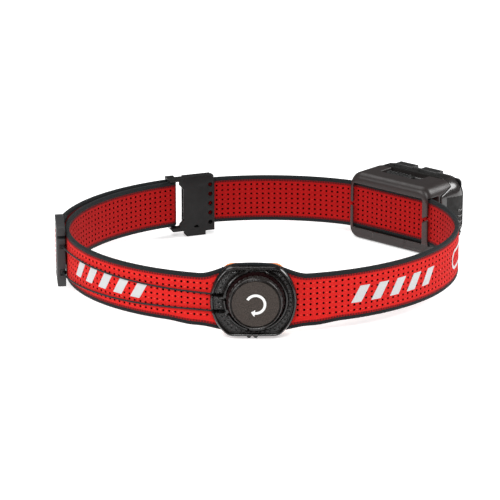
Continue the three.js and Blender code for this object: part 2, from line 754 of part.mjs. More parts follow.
function addFront(group) {
  addPart(group, 'front_bezel', frontBezel(), looks.blackNylon);
  addPart(group, 'spot_lens', lensDisc(spot), looks.lens);
  addPart(group, 'flood_lens', lensDisc(flood), looks.lens);
  addPart(group, 'spot_reflector', reflector(spot, 3.7, 8.6), looks.mirror);
  addPart(group, 'flood_reflector', reflector(flood, 3.7, 6), looks.mirror);
  screwSpots.forEach(([x, z], index) => {
    const screw = turned([[0, 17.6], [0.7, 17.6], [0.7, 24.9], [1.9, 24.9], [1.9, 26], [0, 26]], 16);
    addPart(group, `bezel_screw_${index + 1}`, alongY(screw).translate(x, 0, z), looks.steel);
  });
}

function frontBezel() {
  const { bezelRear, bezelFront } = lamp;
  const rounded = roundedFront(0);
  const plate = common(wall(lampOutline(0), bezelRear, bezelFront - 1.4), rounded);
  const face = common(wall(lampOutline(1.6), bezelFront - 1.9, bezelFront), rounded);
  const openings = [spot, flood].flatMap(({ x, z, lensRadius }) => [
    alongY(rod(lensRadius - 0.8, 20, 40, 28)).translate(x, 0, z),
    alongY(rod(lensRadius + GAP, 25, 40, 28)).translate(x, 0, z),
  ]);
  const screwHoles = screwSpots.flatMap(([x, z]) => [
    alongY(rod(1, 20, 40, 12)).translate(x, 0, z),
    alongY(rod(2.2, 24.6, 40, 16)).translate(x, 0, z),
  ]);
  return cut(join(plate, face), ...openings, ...screwHoles);
}

function lensDisc({ x, z, lensRadius }) {
  const disc = turned([
    [0, 25.3], [lensRadius, 25.3], [lensRadius, 26.6], [lensRadius * 0.6, 27.2], [0, 27.4],
  ], 28);
  return alongY(disc).translate(x, 0, z);
}

// A thin bowl that opens towards the lens.
function reflector({ x, z }, throat, mouth) {
  const rear = 17;
  const front = 24.7;
  const depth = front - rear;
  const steps = 4;
  const inside = [];
  const outside = [];
  for (let i = 0; i <= steps; i += 1) {
    const radius = throat + (mouth - throat) * Math.sqrt(i / steps);
    inside.push([radius - 0.9, rear + (depth * i) / steps]);
    outside.push([radius, rear + (depth * i) / steps]);
  }
  return alongY(turned([...outside, ...inside.reverse()], 24)).translate(x, 0, z);
}

function addInside(group) {
  const { x, width, height, rear, thickness } = battery;
  const cell = wall(roundedRectangle(x - width / 2, x + width / 2, -height / 2, height / 2, 1.5), rear, rear + thickness);
  addPart(group, 'battery_pack', cell, looks.cell);
  addPart(group, 'circuit_board', block(-17.4, 22, 11, 12.1, -10.2, 9.4), looks.board);
  addPart(group, 'heat_sink', heatSink(), looks.aluminium);
  addPart(group, 'led_board', block(-17.2, 19.4, 15.4, 16.4, -8, 9.4), looks.board);
  addPart(group, 'spot_led', ledChip(spot), looks.emitter);
  addPart(group, 'flood_led', ledChip(flood), looks.emitter);
  addPart(group, 'usb_socket', usbSocket(), looks.steel);
  addPart(group, 'button_board', block(-16, 16, 15.1, 21.6, 12, 13.1), looks.board);
}

function heatSink() {
  const plate = block(-17.6, 21, 14, 15, -8.6, 10);
  const fins = [];
  for (let x = -17; x <= 19; x += 6) {
    fins.push(block(x - 0.5, x + 0.5, 12.6, 14.2, -8, 9));
  }
  return join(plate, ...fins);
}

function ledChip({ x, z }) {
  const chip = block(-1.7, 1.7, 16.7, 17.5, -1.7, 1.7);
  const dome = alongY(turned([[0, 17.1], [1.2, 17.1], [1.1, 17.9], [0.6, 18.4], [0, 18.5]], 16));
  return join(chip, dome).translate(x, 0, z);
}

function usbSocket() {
  const shell = block(-25.1, -18, 5.7, 13.8, -1.3, 1.3);
  return cut(shell, block(-26, -19, 6.2, 13.3, -0.9, 0.9));
}

function addControls(group) {
  [['spot', -1], ['flood', 1]].forEach(([name, side]) => {
    const pad = buttonBlock(side, 0, 16.3, 20.2);
    const flange = buttonBlock(side, 0.7, 15.9, 16.9);
    addPart(group, `${name}_button`, join(pad, flange), looks.rubber);
    const can = block(-2.6, 2.6, -2.6, 2.6, 13.4, 14.4);
    const stem = rod(1.2, 14.2, 14.8, 16);
    addPart(group, `${name}_switch`, join(can, stem).translate(side * button.x, button.y, 0), looks.steel);
  });
  addPart(group, 'battery_latch', batteryLatch(), looks.blackNylon);
  addPart(group, 'usb_cover', usbCover(), looks.rubber);
}

// A ribbed slider on the top that frees the battery cover.
function batteryLatch() {
  const base = block(-13, 3, 5, 11.4, 15.9, 17.1);
  const ribs = [];
  for (let i = 0; i < 7; i += 1) {
    const x = -12 + i * 2.2;
    ribs.push(slice(outlineOf([[5.8, 16.8], [10.6, 16.8], [10, 18], [6.4, 18]]), x - 0.55, x + 0.55));
  }
  return join(base, ...ribs);
}

// A rubber flap over the charging port, hinged at its front edge.
function usbCover() {
  const flap = block(-27.1, -26.4, 4.9, 16.4, -3.9, 3.9);
  const plug = block(-26.6, -25.6, 6.1, 13.3, -1.2, 1.2);
  return join(flap, plug);
}

// ---------------------------------------------------------------------------
// The whole object, moved so that it stands on Z = 0 with its box centred on the Z axis
// ---------------------------------------------------------------------------

function headlamp() {
  const parts = new THREE.Group();
  parts.add(headband(), laceBracketGroup(), buckleGroup(), dialGroup(), lampGroup());
  const box = new THREE.Box3().setFromObject(parts, true);
  const centre = box.getCenter(new THREE.Vector3());
  parts.position.set(-centre.x, -centre.y, -REST_LEVEL);
  const object = new THREE.Group();
  object.add(parts);
  return object;
}

export default headlamp();
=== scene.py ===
"""The headlamp's looks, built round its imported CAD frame.

Lengths are in millimetres and angles in radians until a mesh is made, which is in metres.
"""

import json
import math
import random

import bmesh
import bpy
import numpy as np
from mathutils import Matrix, Vector


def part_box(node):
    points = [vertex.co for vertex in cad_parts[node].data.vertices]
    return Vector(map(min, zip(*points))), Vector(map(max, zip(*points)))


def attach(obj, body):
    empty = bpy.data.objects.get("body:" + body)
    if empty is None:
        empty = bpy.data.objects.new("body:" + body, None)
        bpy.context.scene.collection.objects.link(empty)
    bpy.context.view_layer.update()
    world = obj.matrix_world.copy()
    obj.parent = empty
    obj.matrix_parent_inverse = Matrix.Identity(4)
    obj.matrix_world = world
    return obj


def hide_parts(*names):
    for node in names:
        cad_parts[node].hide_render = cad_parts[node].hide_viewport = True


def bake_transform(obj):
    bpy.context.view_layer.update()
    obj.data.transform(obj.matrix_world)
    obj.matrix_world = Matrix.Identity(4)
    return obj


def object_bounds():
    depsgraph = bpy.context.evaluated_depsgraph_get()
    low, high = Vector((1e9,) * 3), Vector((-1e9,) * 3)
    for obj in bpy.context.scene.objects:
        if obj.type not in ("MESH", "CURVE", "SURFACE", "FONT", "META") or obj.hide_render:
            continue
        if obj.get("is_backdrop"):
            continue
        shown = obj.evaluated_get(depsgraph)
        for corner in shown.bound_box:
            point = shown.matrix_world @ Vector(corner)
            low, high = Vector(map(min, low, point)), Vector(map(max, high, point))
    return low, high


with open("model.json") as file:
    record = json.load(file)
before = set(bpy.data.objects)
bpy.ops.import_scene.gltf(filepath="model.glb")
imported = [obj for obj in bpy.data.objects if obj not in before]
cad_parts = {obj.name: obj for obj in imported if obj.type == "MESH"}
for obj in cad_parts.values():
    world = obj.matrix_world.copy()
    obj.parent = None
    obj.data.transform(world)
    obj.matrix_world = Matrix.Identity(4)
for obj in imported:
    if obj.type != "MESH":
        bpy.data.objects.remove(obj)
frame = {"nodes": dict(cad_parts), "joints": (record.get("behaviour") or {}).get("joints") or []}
cad_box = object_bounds()
nodes = frame["nodes"]
joints = {joint["name"]: joint for joint in frame["joints"]}
chance = random.Random(11)

MM = 0.001
FULL_TURN = 2 * math.pi

# ---------------------------------------------------------------------------
# Driving dimensions
# ---------------------------------------------------------------------------

LONG_RADIUS = 98.2          # half the loop's long axis, at the webbing's middle
SHORT_RADIUS = 85.3
LOOP_TURN = math.radians(6.3)
LAYER_SPACING = 4.8         # from the inner layer to the returning outer layer

DIAL_ANGLE = math.radians(-97.6)
LAMP_ANGLE = math.radians(38.1)
BUCKLE_ANGLE = math.radians(107.2)
LACE_BRACKET_ANGLE = math.radians(-180)

HALF_THICKNESS = 1.0        # of the webbing
ROWS = 7                    # of perforations
ROW_PITCH = 2.63
COLUMN_PITCH = 3.15
ROW_HEIGHTS = [(row - (ROWS - 1) / 2) * ROW_PITCH for row in range(ROWS)]
CELL = 0.8                  # half the square of webbing round one perforation
HOLE_RADIUS = 0.58
HOLE_DEPTH = 0.8            # share of half the webbing's thickness
FIELD_HALF = 9.5            # half height of the perforated field
RED_HALF = 10.45            # half height of the red between the bindings
# One binding from its seam to the webbing's edge: [height, share of half the webbing's thickness].
BINDING = [(10.58, 0.84), (10.8, 1.0), (11.45, 1.1), (12.1, 0.96), (12.42, 0.6), (12.54, 0)]

DIAL_BASE_X = -1.0          # base centre from the dial axis
DIAL_BASE_Y = -1.05


def smoothstep(value, low, high):
    t = min(1, max(0, (value - low) / (high - low)))
    return t * t * (3 - 2 * t)


def mix(a, b, share):
    return a + (b - a) * share


# ---------------------------------------------------------------------------
# The loop that everything sits on, and its places
# ---------------------------------------------------------------------------

end_pivot = Vector(joints["lace_bracket_travel"]["pos_m"]) / MM
FOCUS_SHIFT = LONG_RADIUS - SHORT_RADIUS ** 2 / LONG_RADIUS
LOOP_X = end_pivot.x + FOCUS_SHIFT * math.cos(LOOP_TURN)
LOOP_Y = end_pivot.y + FOCUS_SHIFT * math.sin(LOOP_TURN)
BAND_Z = end_pivot.z


def loop_point(angle, offset=0.0):
    """A point on the loop seen from above, offset outwards from the webbing's middle."""
    across = Vector((SHORT_RADIUS * math.cos(angle), LONG_RADIUS * math.sin(angle))).normalized()
    x = LONG_RADIUS * math.cos(angle) + across.x * offset
    y = SHORT_RADIUS * math.sin(angle) + across.y * offset
    cos, sin = math.cos(LOOP_TURN), math.sin(LOOP_TURN)
    return Vector((LOOP_X + x * cos - y * sin, LOOP_Y + x * sin + y * cos))


# Lengths round the loop are measured anticlockwise from the lace bracket.
TABLE_ANGLES = np.radians(np.linspace(-290, 130, 4201))
table_speeds = np.hypot(LONG_RADIUS * np.sin(TABLE_ANGLES), SHORT_RADIUS * np.cos(TABLE_ANGLES))
table_steps = (table_speeds[1:] + table_speeds[:-1]) / 2 * np.diff(TABLE_ANGLES)
table_sums = np.concatenate([[0], np.cumsum(table_steps)])
TABLE_LENGTHS = table_sums - np.interp(LACE_BRACKET_ANGLE, TABLE_ANGLES, table_sums)


def angle_at(length):
    return float(np.interp(length, TABLE_LENGTHS, TABLE_ANGLES))


def length_at(angle):
    return float(np.interp(angle, TABLE_ANGLES, TABLE_LENGTHS))


LAMP_LOOP_RADIUS = 89.0     # the loop's radius beside the lamp
LAMP_MM_PER_RADIAN = 90.4
CHORD = 3.4                 # the straight webbing in the lamp's bracket is this far inside the loop
CHORD_BLEND = 0.8


def straight_run(angle):
    """How far outside the loop the webbing lies: less than nothing where it runs straight by the lamp."""
    along = (angle - LAMP_ANGLE) * LAMP_MM_PER_RADIAN
    sagitta = along * along / (2 * LAMP_LOOP_RADIUS)
    return -CHORD_BLEND * math.log(1 + math.exp((CHORD - sagitta) / CHORD_BLEND))


def band_point(length, offset):
    angle = angle_at(length)
    return loop_point(angle, offset + straight_run(angle))


def on_band(length, height, offset):
    """A point on the headband as x, y, z: along it, above its middle and outside it."""
    point = band_point(length, offset)
    return (point.x, point.y, BAND_Z + height)


def place_at(angle):
    """A frame on the loop: local X along it, Y outwards and Z up."""
    origin = loop_point(angle)
    outward = (loop_point(angle, 1) - origin).normalized()
    along = Vector((outward.y, -outward.x))

    def place(x, y, z):
        spot = origin + along * x + outward * y
        return (spot.x, spot.y, BAND_Z + z)

    return place


dial_axis = Vector(joints["dial_turn"]["pos_m"]) / MM
DIAL_FACE_Y = loop_point(DIAL_ANGLE).y


def on_dial(x, y, z):
    """A point in the dial's own frame: X to the right, Y up and Z outwards from the webbing."""
    return (dial_axis.x + x, DIAL_FACE_Y - z, dial_axis.z + y)


on_lamp = place_at(LAMP_ANGLE)
LAMP_ALONG = Vector(joints["latch_slide"]["axis"]).normalized()
LAMP_OUT = Vector((-LAMP_ALONG.y, LAMP_ALONG.x, 0))
LAMP_YAW = math.atan2(LAMP_ALONG.y, LAMP_ALONG.x)

# ---------------------------------------------------------------------------
# Meshes
# ---------------------------------------------------------------------------


def new_piece(name, points, faces, materials, body, sharp=40, uvs=None, face_materials=None):
    """A closed mesh piece from points in millimetres. It rides on a body, or on none where body is None."""
    mesh = bpy.data.meshes.new(name)
    mesh.from_pydata([(x * MM, y * MM, z * MM) for x, y, z in points], [], faces)
    for material in materials:
        mesh.materials.append(material)
    if face_materials:
        mesh.polygons.foreach_set("material_index", face_materials)
    if uvs:
        layer = mesh.uv_layers.new(name="along_across")
        corners = np.empty(len(mesh.loops), dtype=np.int32)
        mesh.loops.foreach_get("vertex_index", corners)
        layer.data.foreach_set("uv", np.array(uvs, dtype=np.float32)[corners].ravel())
    return dress(mesh, name, body, sharp)


def dress(mesh, name, body, sharp):
    """Turns every face outwards, shades it smooth up to the sharp angle and makes the object."""
    work = bmesh.new()
    work.from_mesh(mesh)
    bmesh.ops.recalc_face_normals(work, faces=work.faces)
    work.to_mesh(mesh)
    work.free()
    mesh.shade_smooth()
    mesh.set_sharp_from_angle(angle=math.radians(sharp))
    piece = bpy.data.objects.new(name, mesh)
    bpy.context.scene.collection.objects.link(piece)
    if body:
        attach(piece, body)
    return piece


def stand_in(mesh, node, body, materials, kinds, sharp):
    """Makes a mesh into the piece that replaces a CAD node. Kinds are its faces' material numbers."""
    mesh.materials.clear()
    for material in materials:
        mesh.materials.append(material)
    mesh.polygons.foreach_set("material_index", kinds)
    piece = dress(mesh, f"{node}_fine", body, sharp)
    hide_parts(node)


def refined(node, body, look, width, segments):
    """A copy of a CAD node with its flat facets merged and its edges rounded, in the node's place."""
    low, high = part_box(node)
    work = bmesh.new()
    work.from_mesh(nodes[node].data)
    bmesh.ops.remove_doubles(work, verts=work.verts, dist=2e-6)
    bmesh.ops.dissolve_limit(work, angle_limit=math.radians(1.5), verts=work.verts, edges=work.edges)
    edges = [edge for edge in work.edges if len(edge.link_faces) == 2 and edge.calc_face_angle() > 0.52]
    bmesh.ops.bevel(
        work, geom=edges, offset=width * MM, offset_type="OFFSET", segments=segments, profile=0.5,
        affect="EDGES", clamp_overlap=False,
    )
    bmesh.ops.remove_doubles(work, verts=work.verts, dist=4e-6)
    for corner in work.verts:
        for axis in range(3):
            corner.co[axis] = min(high[axis], max(low[axis], corner.co[axis]))
    mesh = bpy.data.meshes.new(f"{node}_fine")
    work.to_mesh(mesh)
    work.free()
    stand_in(mesh, node, body, [looks[look]], [0] * len(mesh.polygons), 35)


def lamp_envelope(stations):
    """A smooth solid round the lamp through outlines across its depth, to trim a node's copy with.

    Each station is (depth, half width, bottom, top, lower corner radius, upper corner radius)."""
    rings = []
    for depth, half, bottom, top, lower, upper in stations:
        ring = []
        for sign_x, sign_z, radius in ((1, -1, lower), (1, 1, upper), (-1, 1, upper), (-1, -1, lower)):
            centre_x = sign_x * (half - radius)
            centre_z = top - radius if sign_z > 0 else bottom + radius
            start = math.atan2(sign_z, sign_x) - math.pi / 4
            for k in range(13):
                angle = start + math.pi / 2 * k / 12
                x = centre_x + radius * math.cos(angle)
                z = centre_z + radius * math.sin(angle)
                ring.append(on_lamp(x, depth, z))
        rings.append(ring)
    points, faces = skin(rings)
    envelope = new_piece("envelope_work", points, faces, [], None)
    envelope.data.transform(Matrix.Rotation(-LAMP_YAW, 4, "Z"))
    return envelope


MOULD_VOXEL = 0.34
MOULD_PASSES = 8            # of smoothing, which round the edges


def one_kind(_):
    return 0


def moulded(node, body, materials, stations, zone=one_kind):
    """A copy of one of the lamp's CAD nodes, trimmed to a smooth envelope and with softly rounded edges.

    Zone picks a material's number for a face's centre in millimetres."""
    low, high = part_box(node)
    turn = Matrix.Rotation(LAMP_YAW, 4, "Z")
    copied = nodes[node].data.copy()
    copied.transform(turn.inverted())
    work = bpy.data.objects.new(f"{node}_work", copied)
    bpy.context.scene.collection.objects.link(work)
    envelope = lamp_envelope(stations)
    trim = work.modifiers.new("trim", "BOOLEAN")
    trim.operation = "INTERSECT"
    trim.object = envelope
    remesh = work.modifiers.new("voxels", "REMESH")
    remesh.mode = "VOXEL"
    remesh.voxel_size = MOULD_VOXEL * MM
    soften = work.modifiers.new("soften", "SMOOTH")
    soften.factor = 0.5
    soften.iterations = MOULD_PASSES
    evaluated = work.evaluated_get(bpy.context.evaluated_depsgraph_get())
    mesh = bpy.data.meshes.new_from_object(evaluated)
    bpy.data.objects.remove(work)
    bpy.data.objects.remove(envelope)
    mesh.transform(turn)
    corners = np.empty(len(mesh.vertices) * 3)
    mesh.vertices.foreach_get("co", corners)
    corners = np.clip(corners.reshape(-1, 3), low, high)
    mesh.vertices.foreach_set("co", corners.ravel())
    kinds = [zone(face.center / MM) for face in mesh.polygons]
    stand_in(mesh, node, body, materials, kinds, 70)


def skin(rings, closed_path=False):
    """Faces between rings of points with equal counts, with a cap on each open end."""
    count = len(rings[0])
    faces = []
    spans = len(rings) if closed_path else len(rings) - 1
    for i in range(spans):
        here, there = i * count, ((i + 1) % len(rings)) * count
        for j in range(count):
            k = (j + 1) % count
            faces.append((here + j, here + k, there + k, there + j))
    if not closed_path:
        faces.append(tuple(range(count)))
        faces.append(tuple(reversed(range((len(rings) - 1) * count, len(rings) * count))))
    points = [point for ring in rings for point in ring]
    return points, faces


def dial_ring(layer, segments):
    """Points round the dial's axis. A layer is a function from a direction to (radius, height)."""
    ring = []
    for i in range(segments):
        angle = FULL_TURN * i / segments
        radius, height = layer(angle)
        ring.append(on_dial(radius * math.cos(angle), radius * math.sin(angle), height))
    return ring


def circle(radius, height):
    return lambda angle: (radius, height)


def turned(name, profile, material, body, segments=128):
    """A profile of (radius, height) pairs turned about the dial's axis. It starts and ends on the axis,
    or closes on itself."""
    on_axis = profile[0][0] == 0
    turns = profile[1:-1] if on_axis else profile
    rings = [dial_ring(circle(radius, height), segments) for radius, height in turns]
    points, faces = skin(rings, closed_path=not on_axis)
    return new_piece(name, points, faces, [material], body)


def slab(name, grid, place, low, high, material, body, closed=False):
    """A thin plate over a grid of (a, b) pairs, between two heights of place(a, b, height)."""
    rows, columns = len(grid), len(grid[0])
    points = [place(a, b, low) for row in grid for a, b in row]
    points += [place(a, b, high) for row in grid for a, b in row]
    top = rows * columns
    faces = []
    for i in range(rows if closed else rows - 1):
        here, there = i * columns, ((i + 1) % rows) * columns
        for j in range(columns - 1):
            corners = (here + j, here + j + 1, there + j + 1, there + j)
            faces.append(tuple(top + c for c in corners))
            faces.append(tuple(reversed(corners)))
        for j in (0, columns - 1):
            faces.append((here + j, there + j, top + there + j, top + here + j))
    if not closed:
        for i in (0, rows - 1):
            for j in range(columns - 1):
                a, b = i * columns + j, i * columns + j + 1
                faces.append((a, b, top + b, top + a))
    return new_piece(name, points, faces, [material], body, 30)


def tube(name, route, radius, material, body):
    """A round tube along points, with its length and turn kept for its pattern."""
    sides = 14
    stops = [Vector(point) for point in route]
    rings, uvs, travelled = [], [], 0.0
    side = Vector((0, 0, 1))
    for i, stop in enumerate(stops):
        ahead = stops[min(i + 1, len(stops) - 1)] - stops[max(i - 1, 0)]
        ahead.normalize()
        side = (side - ahead * side.dot(ahead)).normalized()
        other = ahead.cross(side)
        if i:
            travelled += (stop - stops[i - 1]).length
        ring = []
        for k in range(sides):
            angle = FULL_TURN * k / sides
            ring.append(tuple(stop + (side * math.cos(angle) + other * math.sin(angle)) * radius))
            uvs.append((travelled, k / sides))
        rings.append(ring)
    points, faces = skin(rings)
    return new_piece(name, points, faces, [material], body, 50, uvs)


def spline(stops, steps):
    """A smooth curve through the stops."""
    points = [Vector(stop) for stop in stops]
    padded = [points[0] * 2 - points[1], *points, points[-1] * 2 - points[-2]]
    curve = []
    for i in range(1, len(padded) - 2):
        before, here, there, after = padded[i - 1:i + 3]
        for k in range(steps):
            t = k / steps
            curve.append(
                0.5 * ((2 * here) + (there - before) * t + (2 * before - 5 * here + 4 * there - after) * t * t
                       + (3 * here - before - 3 * there + after) * t ** 3)
            )
    curve.append(points[-1])
    return curve


# ---------------------------------------------------------------------------
# Materials
# ---------------------------------------------------------------------------


class Look:
    """One procedural material. Its nodes measure in millimetres on the piece itself."""

    def __init__(self, name, color, roughness, metallic=0.0, **sockets):
        self.material = bpy.data.materials.new(name)
        self.material.use_nodes = True
        self.tree = self.material.node_tree
        self.shader = self.tree.nodes["Principled BSDF"]
        self.color = color
        self.roughness = roughness
        self.set("Base Color", (*color, 1))
        self.set("Roughness", roughness)
        self.set("Metallic", metallic)
        for socket, value in sockets.items():
            self.set(socket.replace("_", " "), value)
        self.here = self.node("ShaderNodeTexCoord").outputs["Object"]
        self.normal = None

    def set(self, socket, value):
        self.shader.inputs[socket].default_value = value

    def node(self, kind, **settings):
        made = self.tree.nodes.new(kind)
        for setting, value in settings.items():
            setattr(made, setting, value)
        return made

    def link(self, output, socket):
        self.tree.links.new(output, socket)

    def math(self, operation, *values):
        made = self.node("ShaderNodeMath", operation=operation)
        for i, value in enumerate(values):
            if hasattr(value, "is_output"):
                self.link(value, made.inputs[i])
            else:
                made.inputs[i].default_value = value
        return made.outputs[0]

    def noise(self, size, detail=3.0, rough=0.55, stretch=None):
        """Noise from 0 to 1 whose lumps are about size millimetres across."""
        made = self.node("ShaderNodeTexNoise")
        made.inputs["Scale"].default_value = 1 / (size * MM)
        made.inputs["Detail"].default_value = detail
        made.inputs["Roughness"].default_value = rough
        self.link(self.stretched(stretch), made.inputs["Vector"])
        return made.outputs["Fac"]

    def stretched(self, stretch):
        if not stretch:
            return self.here
        made = self.node("ShaderNodeMapping")
        made.inputs["Scale"].default_value = stretch
        self.link(self.here, made.inputs["Vector"])
        return made.outputs["Vector"]

    def cells(self, size, feature="F1"):
        made = self.node("ShaderNodeTexVoronoi", feature=feature)
        made.inputs["Scale"].default_value = 1 / (size * MM)
        self.link(self.here, made.inputs["Vector"])
        return made.outputs["Distance"]

    def range(self, value, low, high, to_low=0.0, to_high=1.0):
        made = self.node("ShaderNodeMapRange")
        for socket, number in zip(made.inputs[1:5], (low, high, to_low, to_high)):
            socket.default_value = number
        self.link(value, made.inputs[0])
        return made.outputs[0]

    def blend(self, share, first, second):
        """A colour between two colours, each a tuple or another node's output."""
        made = self.node("ShaderNodeMix", data_type="RGBA")
        self.link(share, made.inputs["Factor"])
        for socket, value in ((made.inputs[6], first), (made.inputs[7], second)):
            if hasattr(value, "is_output"):
                self.link(value, socket)
            else:
                socket.default_value = (*value, 1)
        return made.outputs[2]

    def paint(self, output):
        self.link(output, self.shader.inputs["Base Color"])
        return output

    def vary_color(self, share, darker, lighter):
        low = tuple(c * darker for c in self.color)
        high = tuple(min(1, c * lighter) for c in self.color)
        return self.paint(self.blend(share, low, high))

    def vary_roughness(self, share, spread=0.12):
        low, high = max(0.02, self.roughness - spread), min(1, self.roughness + spread)
        self.link(self.range(share, 0.3, 0.7, low, high), self.shader.inputs["Roughness"])

    def bump(self, height, depth):
        """Relief of the given depth in millimetres, added to any earlier relief."""
        made = self.node("ShaderNodeBump")
        made.inputs["Distance"].default_value = depth * MM
        self.link(height, made.inputs["Height"])
        if self.normal:
            self.link(self.normal, made.inputs["Normal"])
        self.normal = made.outputs["Normal"]
        self.link(self.normal, self.shader.inputs["Normal"])

    def along_across(self):
        """How far along and across its own strip a point lies, in millimetres."""
        uv = self.node("ShaderNodeUVMap", uv_map="along_across")
        split = self.node("ShaderNodeSeparateXYZ")
        self.link(uv.outputs["UV"], split.inputs[0])
        return split.outputs["X"], split.outputs["Y"]

    def near_multiple(self, value, pitch, offset, half_width):
        """1 where value is within half_width of a whole number of pitches past the offset."""
        turns = self.math("DIVIDE", self.math("SUBTRACT", value, offset), pitch)
        part = self.math("FRACT", self.math("ADD", turns, 0.5))
        away = self.math("ABSOLUTE", self.math("SUBTRACT", part, 0.5))
        return self.range(self.math("MULTIPLY", away, pitch), half_width * 1.3, half_width * 0.7)

    def wave(self, value, pitch):
        """A sine wave from 0 to 1 with the given pitch."""
        sine = self.math("SINE", self.math("MULTIPLY", value, FULL_TURN / pitch))
        return self.range(sine, -1, 1)


WIDER_THAN_WEBBING = 40     # a pitch that leaves only one line on the webbing
STITCH_COLOR = (0.035, 0.004, 0.006)


def webbing_look(name, color, thread, speck_color):
    """Elastic weave: fine ribs, mottling, pale pick threads and the stitched change to the binding."""
    look = Look(name, color, 0.9, Sheen_Weight=0.02, Sheen_Roughness=0.5, Specular_IOR_Level=0.12)
    along, across = look.along_across()
    mottled = look.vary_color(look.noise(1.1, 4), 0.86, 1.1)
    crossing = look.math("MULTIPLY", look.wave(along, 0.62), look.wave(across, 0.44))
    woven = look.blend(look.range(crossing, 0, 1, 0.0, 0.28), mottled, thread)
    between = look.near_multiple(along, COLUMN_PITCH, COLUMN_PITCH / 2, 0.42)
    in_row = look.near_multiple(across, ROW_PITCH, 0.0, 0.26)
    inside = look.range(look.math("ABSOLUTE", across), 9.2, 8.9)
    speck = look.math("MULTIPLY", look.math("MULTIPLY", between, in_row), inside)
    speck = look.math("MULTIPLY", speck, look.range(look.noise(1.6), 0.35, 0.62, 0.04, 0.24))
    specked = look.blend(speck, woven, speck_color)
    height = look.math("ABSOLUTE", across)
    first = look.near_multiple(height, WIDER_THAN_WEBBING, 9.62, 0.14)
    second = look.near_multiple(height, WIDER_THAN_WEBBING, 10.12, 0.26)
    dashed = look.range(look.wave(along, 1.4), 0.1, 0.5, 0.6, 1.0)
    stitched = look.math("MULTIPLY", look.math("MAXIMUM", first, second), dashed)
    look.paint(look.blend(stitched, specked, STITCH_COLOR))
    look.bump(look.wave(across, 0.44), 0.05)
    look.bump(look.wave(along, 0.62), 0.05)
    look.bump(look.noise(0.35, 2), 0.04)
    return look.material


def binding_look():
    look = Look("binding_black", (0.007, 0.009, 0.01), 0.7, Sheen_Weight=0.03, Specular_IOR_Level=0.15)
    along, across = look.along_across()
    look.vary_color(look.wave(along, 0.5), 0.5, 1.9)
    look.bump(look.wave(along, 0.5), 0.08)
    look.bump(look.wave(across, 0.55), 0.06)
    return look.material


def hole_look():
    look = Look("hole_shadow", (0.003, 0.0025, 0.0025), 0.95, Specular_IOR_Level=0.0)
    look.vary_color(look.noise(0.3), 0.3, 1.6)
    return look.material


def reflective_look():
    """Heat-pressed reflective film: pale grey, beaded and slightly metallic."""
    look = Look("reflective_film", (0.5, 0.51, 0.515), 0.42, 0.25)
    look.vary_color(look.noise(0.35, 2, 0.7), 0.86, 1.14)
    look.bump(look.cells(0.28), 0.03)
    return look.material


def cord_look():
    look = Look("braided_lace", (0.006, 0.009, 0.01), 0.55, Sheen_Weight=0.03, Specular_IOR_Level=0.2)
    along, round_it = look.along_across()
    twist = look.math("MULTIPLY", round_it, 1.8)
    one = look.wave(look.math("ADD", along, twist), 0.9)
    two = look.wave(look.math("SUBTRACT", along, twist), 0.9)
    braid = look.math("MAXIMUM", one, two)
    look.vary_color(braid, 0.5, 2.0)
    look.bump(braid, 0.1)
    return look.material


def grained_plastic(name, color, roughness, grain=0.35, depth=0.008, **sockets):
    """Moulded plastic: fine spark-eroded grain and faint cloudiness."""
    look = Look(name, color, roughness, **sockets)
    look.vary_color(look.noise(9, 3), 0.86, 1.16)
    look.vary_roughness(look.noise(2.5, 4))
    look.bump(look.noise(grain, 3, 0.65), depth)
    return look.material


def leather_look(name, color, roughness, size, depth, **sockets):
    """Leather-like moulded grain: small cushions with creases between them."""
    look = Look(name, color, roughness, **sockets)
    crease = look.range(look.cells(size, "DISTANCE_TO_EDGE"), 0.0, 0.22)
    look.vary_color(look.noise(1.5), 0.7, 1.5)
    look.vary_roughness(look.noise(0.8), 0.1)
    look.bump(crease, depth)
    look.bump(look.noise(0.25), 0.015)
    return look.material


def disc_look():
    """Sand-blasted warm grey with fine light and dark specks."""
    look = Look("blasted_grey", (0.035, 0.0275, 0.0235), 0.6, 0.1, Specular_IOR_Level=0.2)
    fleck = look.range(look.noise(0.42, 2, 0.8), 0.32, 0.68)
    look.vary_color(fleck, 0.3, 2.1)
    look.bump(fleck, 0.04)
    return look.material


def smoky_look(name, color, roughness, gloss):
    """Smoky polycarbonate: dark and warm, with a fine matt grain on its faces."""
    look = Look(name, color, roughness, Specular_IOR_Level=gloss)
    look.vary_color(look.noise(14, 2), 0.9, 1.12)
    look.vary_roughness(look.noise(5, 4), 0.05)
    look.bump(look.noise(0.3, 2), 0.002)
    return look.material


def metal_look(name, color, roughness, brushed=(1, 1, 1)):
    look = Look(name, color, roughness, 1.0)
    streaks = look.noise(0.6, 4, 0.7, brushed)
    look.vary_color(streaks, 0.85, 1.1)
    look.vary_roughness(streaks, 0.1)
    look.bump(streaks, 0.006)
    return look.material


def glass_look():
    look = Look("clear_lens", (0.95, 0.97, 0.98), 0.03, Transmission_Weight=1.0, IOR=1.49)
    look.bump(look.noise(6, 2), 0.002)
    return look.material


def board_look():
    """Green solder mask with faint copper tracks under it."""
    look = Look("circuit_green", (0.01, 0.075, 0.03), 0.35, Coat_Weight=0.4)
    tracks = look.range(look.cells(2.6, "DISTANCE_TO_EDGE"), 0.06, 0.1)
    look.paint(look.blend(tracks, (0.05, 0.2, 0.07), (0.01, 0.075, 0.03)))
    look.bump(tracks, 0.03)
    return look.material


def cell_look():
    look = Look("cell_sleeve", (0.02, 0.085, 0.24), 0.3, Coat_Weight=0.3)
    look.vary_color(look.noise(6), 0.85, 1.15)
    look.bump(look.noise(4, 3), 0.08)
    return look.material


def emitter_look():
    look = Look("led_phosphor", (0.86, 0.62, 0.13), 0.35, Coat_Weight=0.8)
    look.vary_color(look.noise(0.3), 0.85, 1.1)
    look.bump(look.noise(0.2), 0.01)
    return look.material


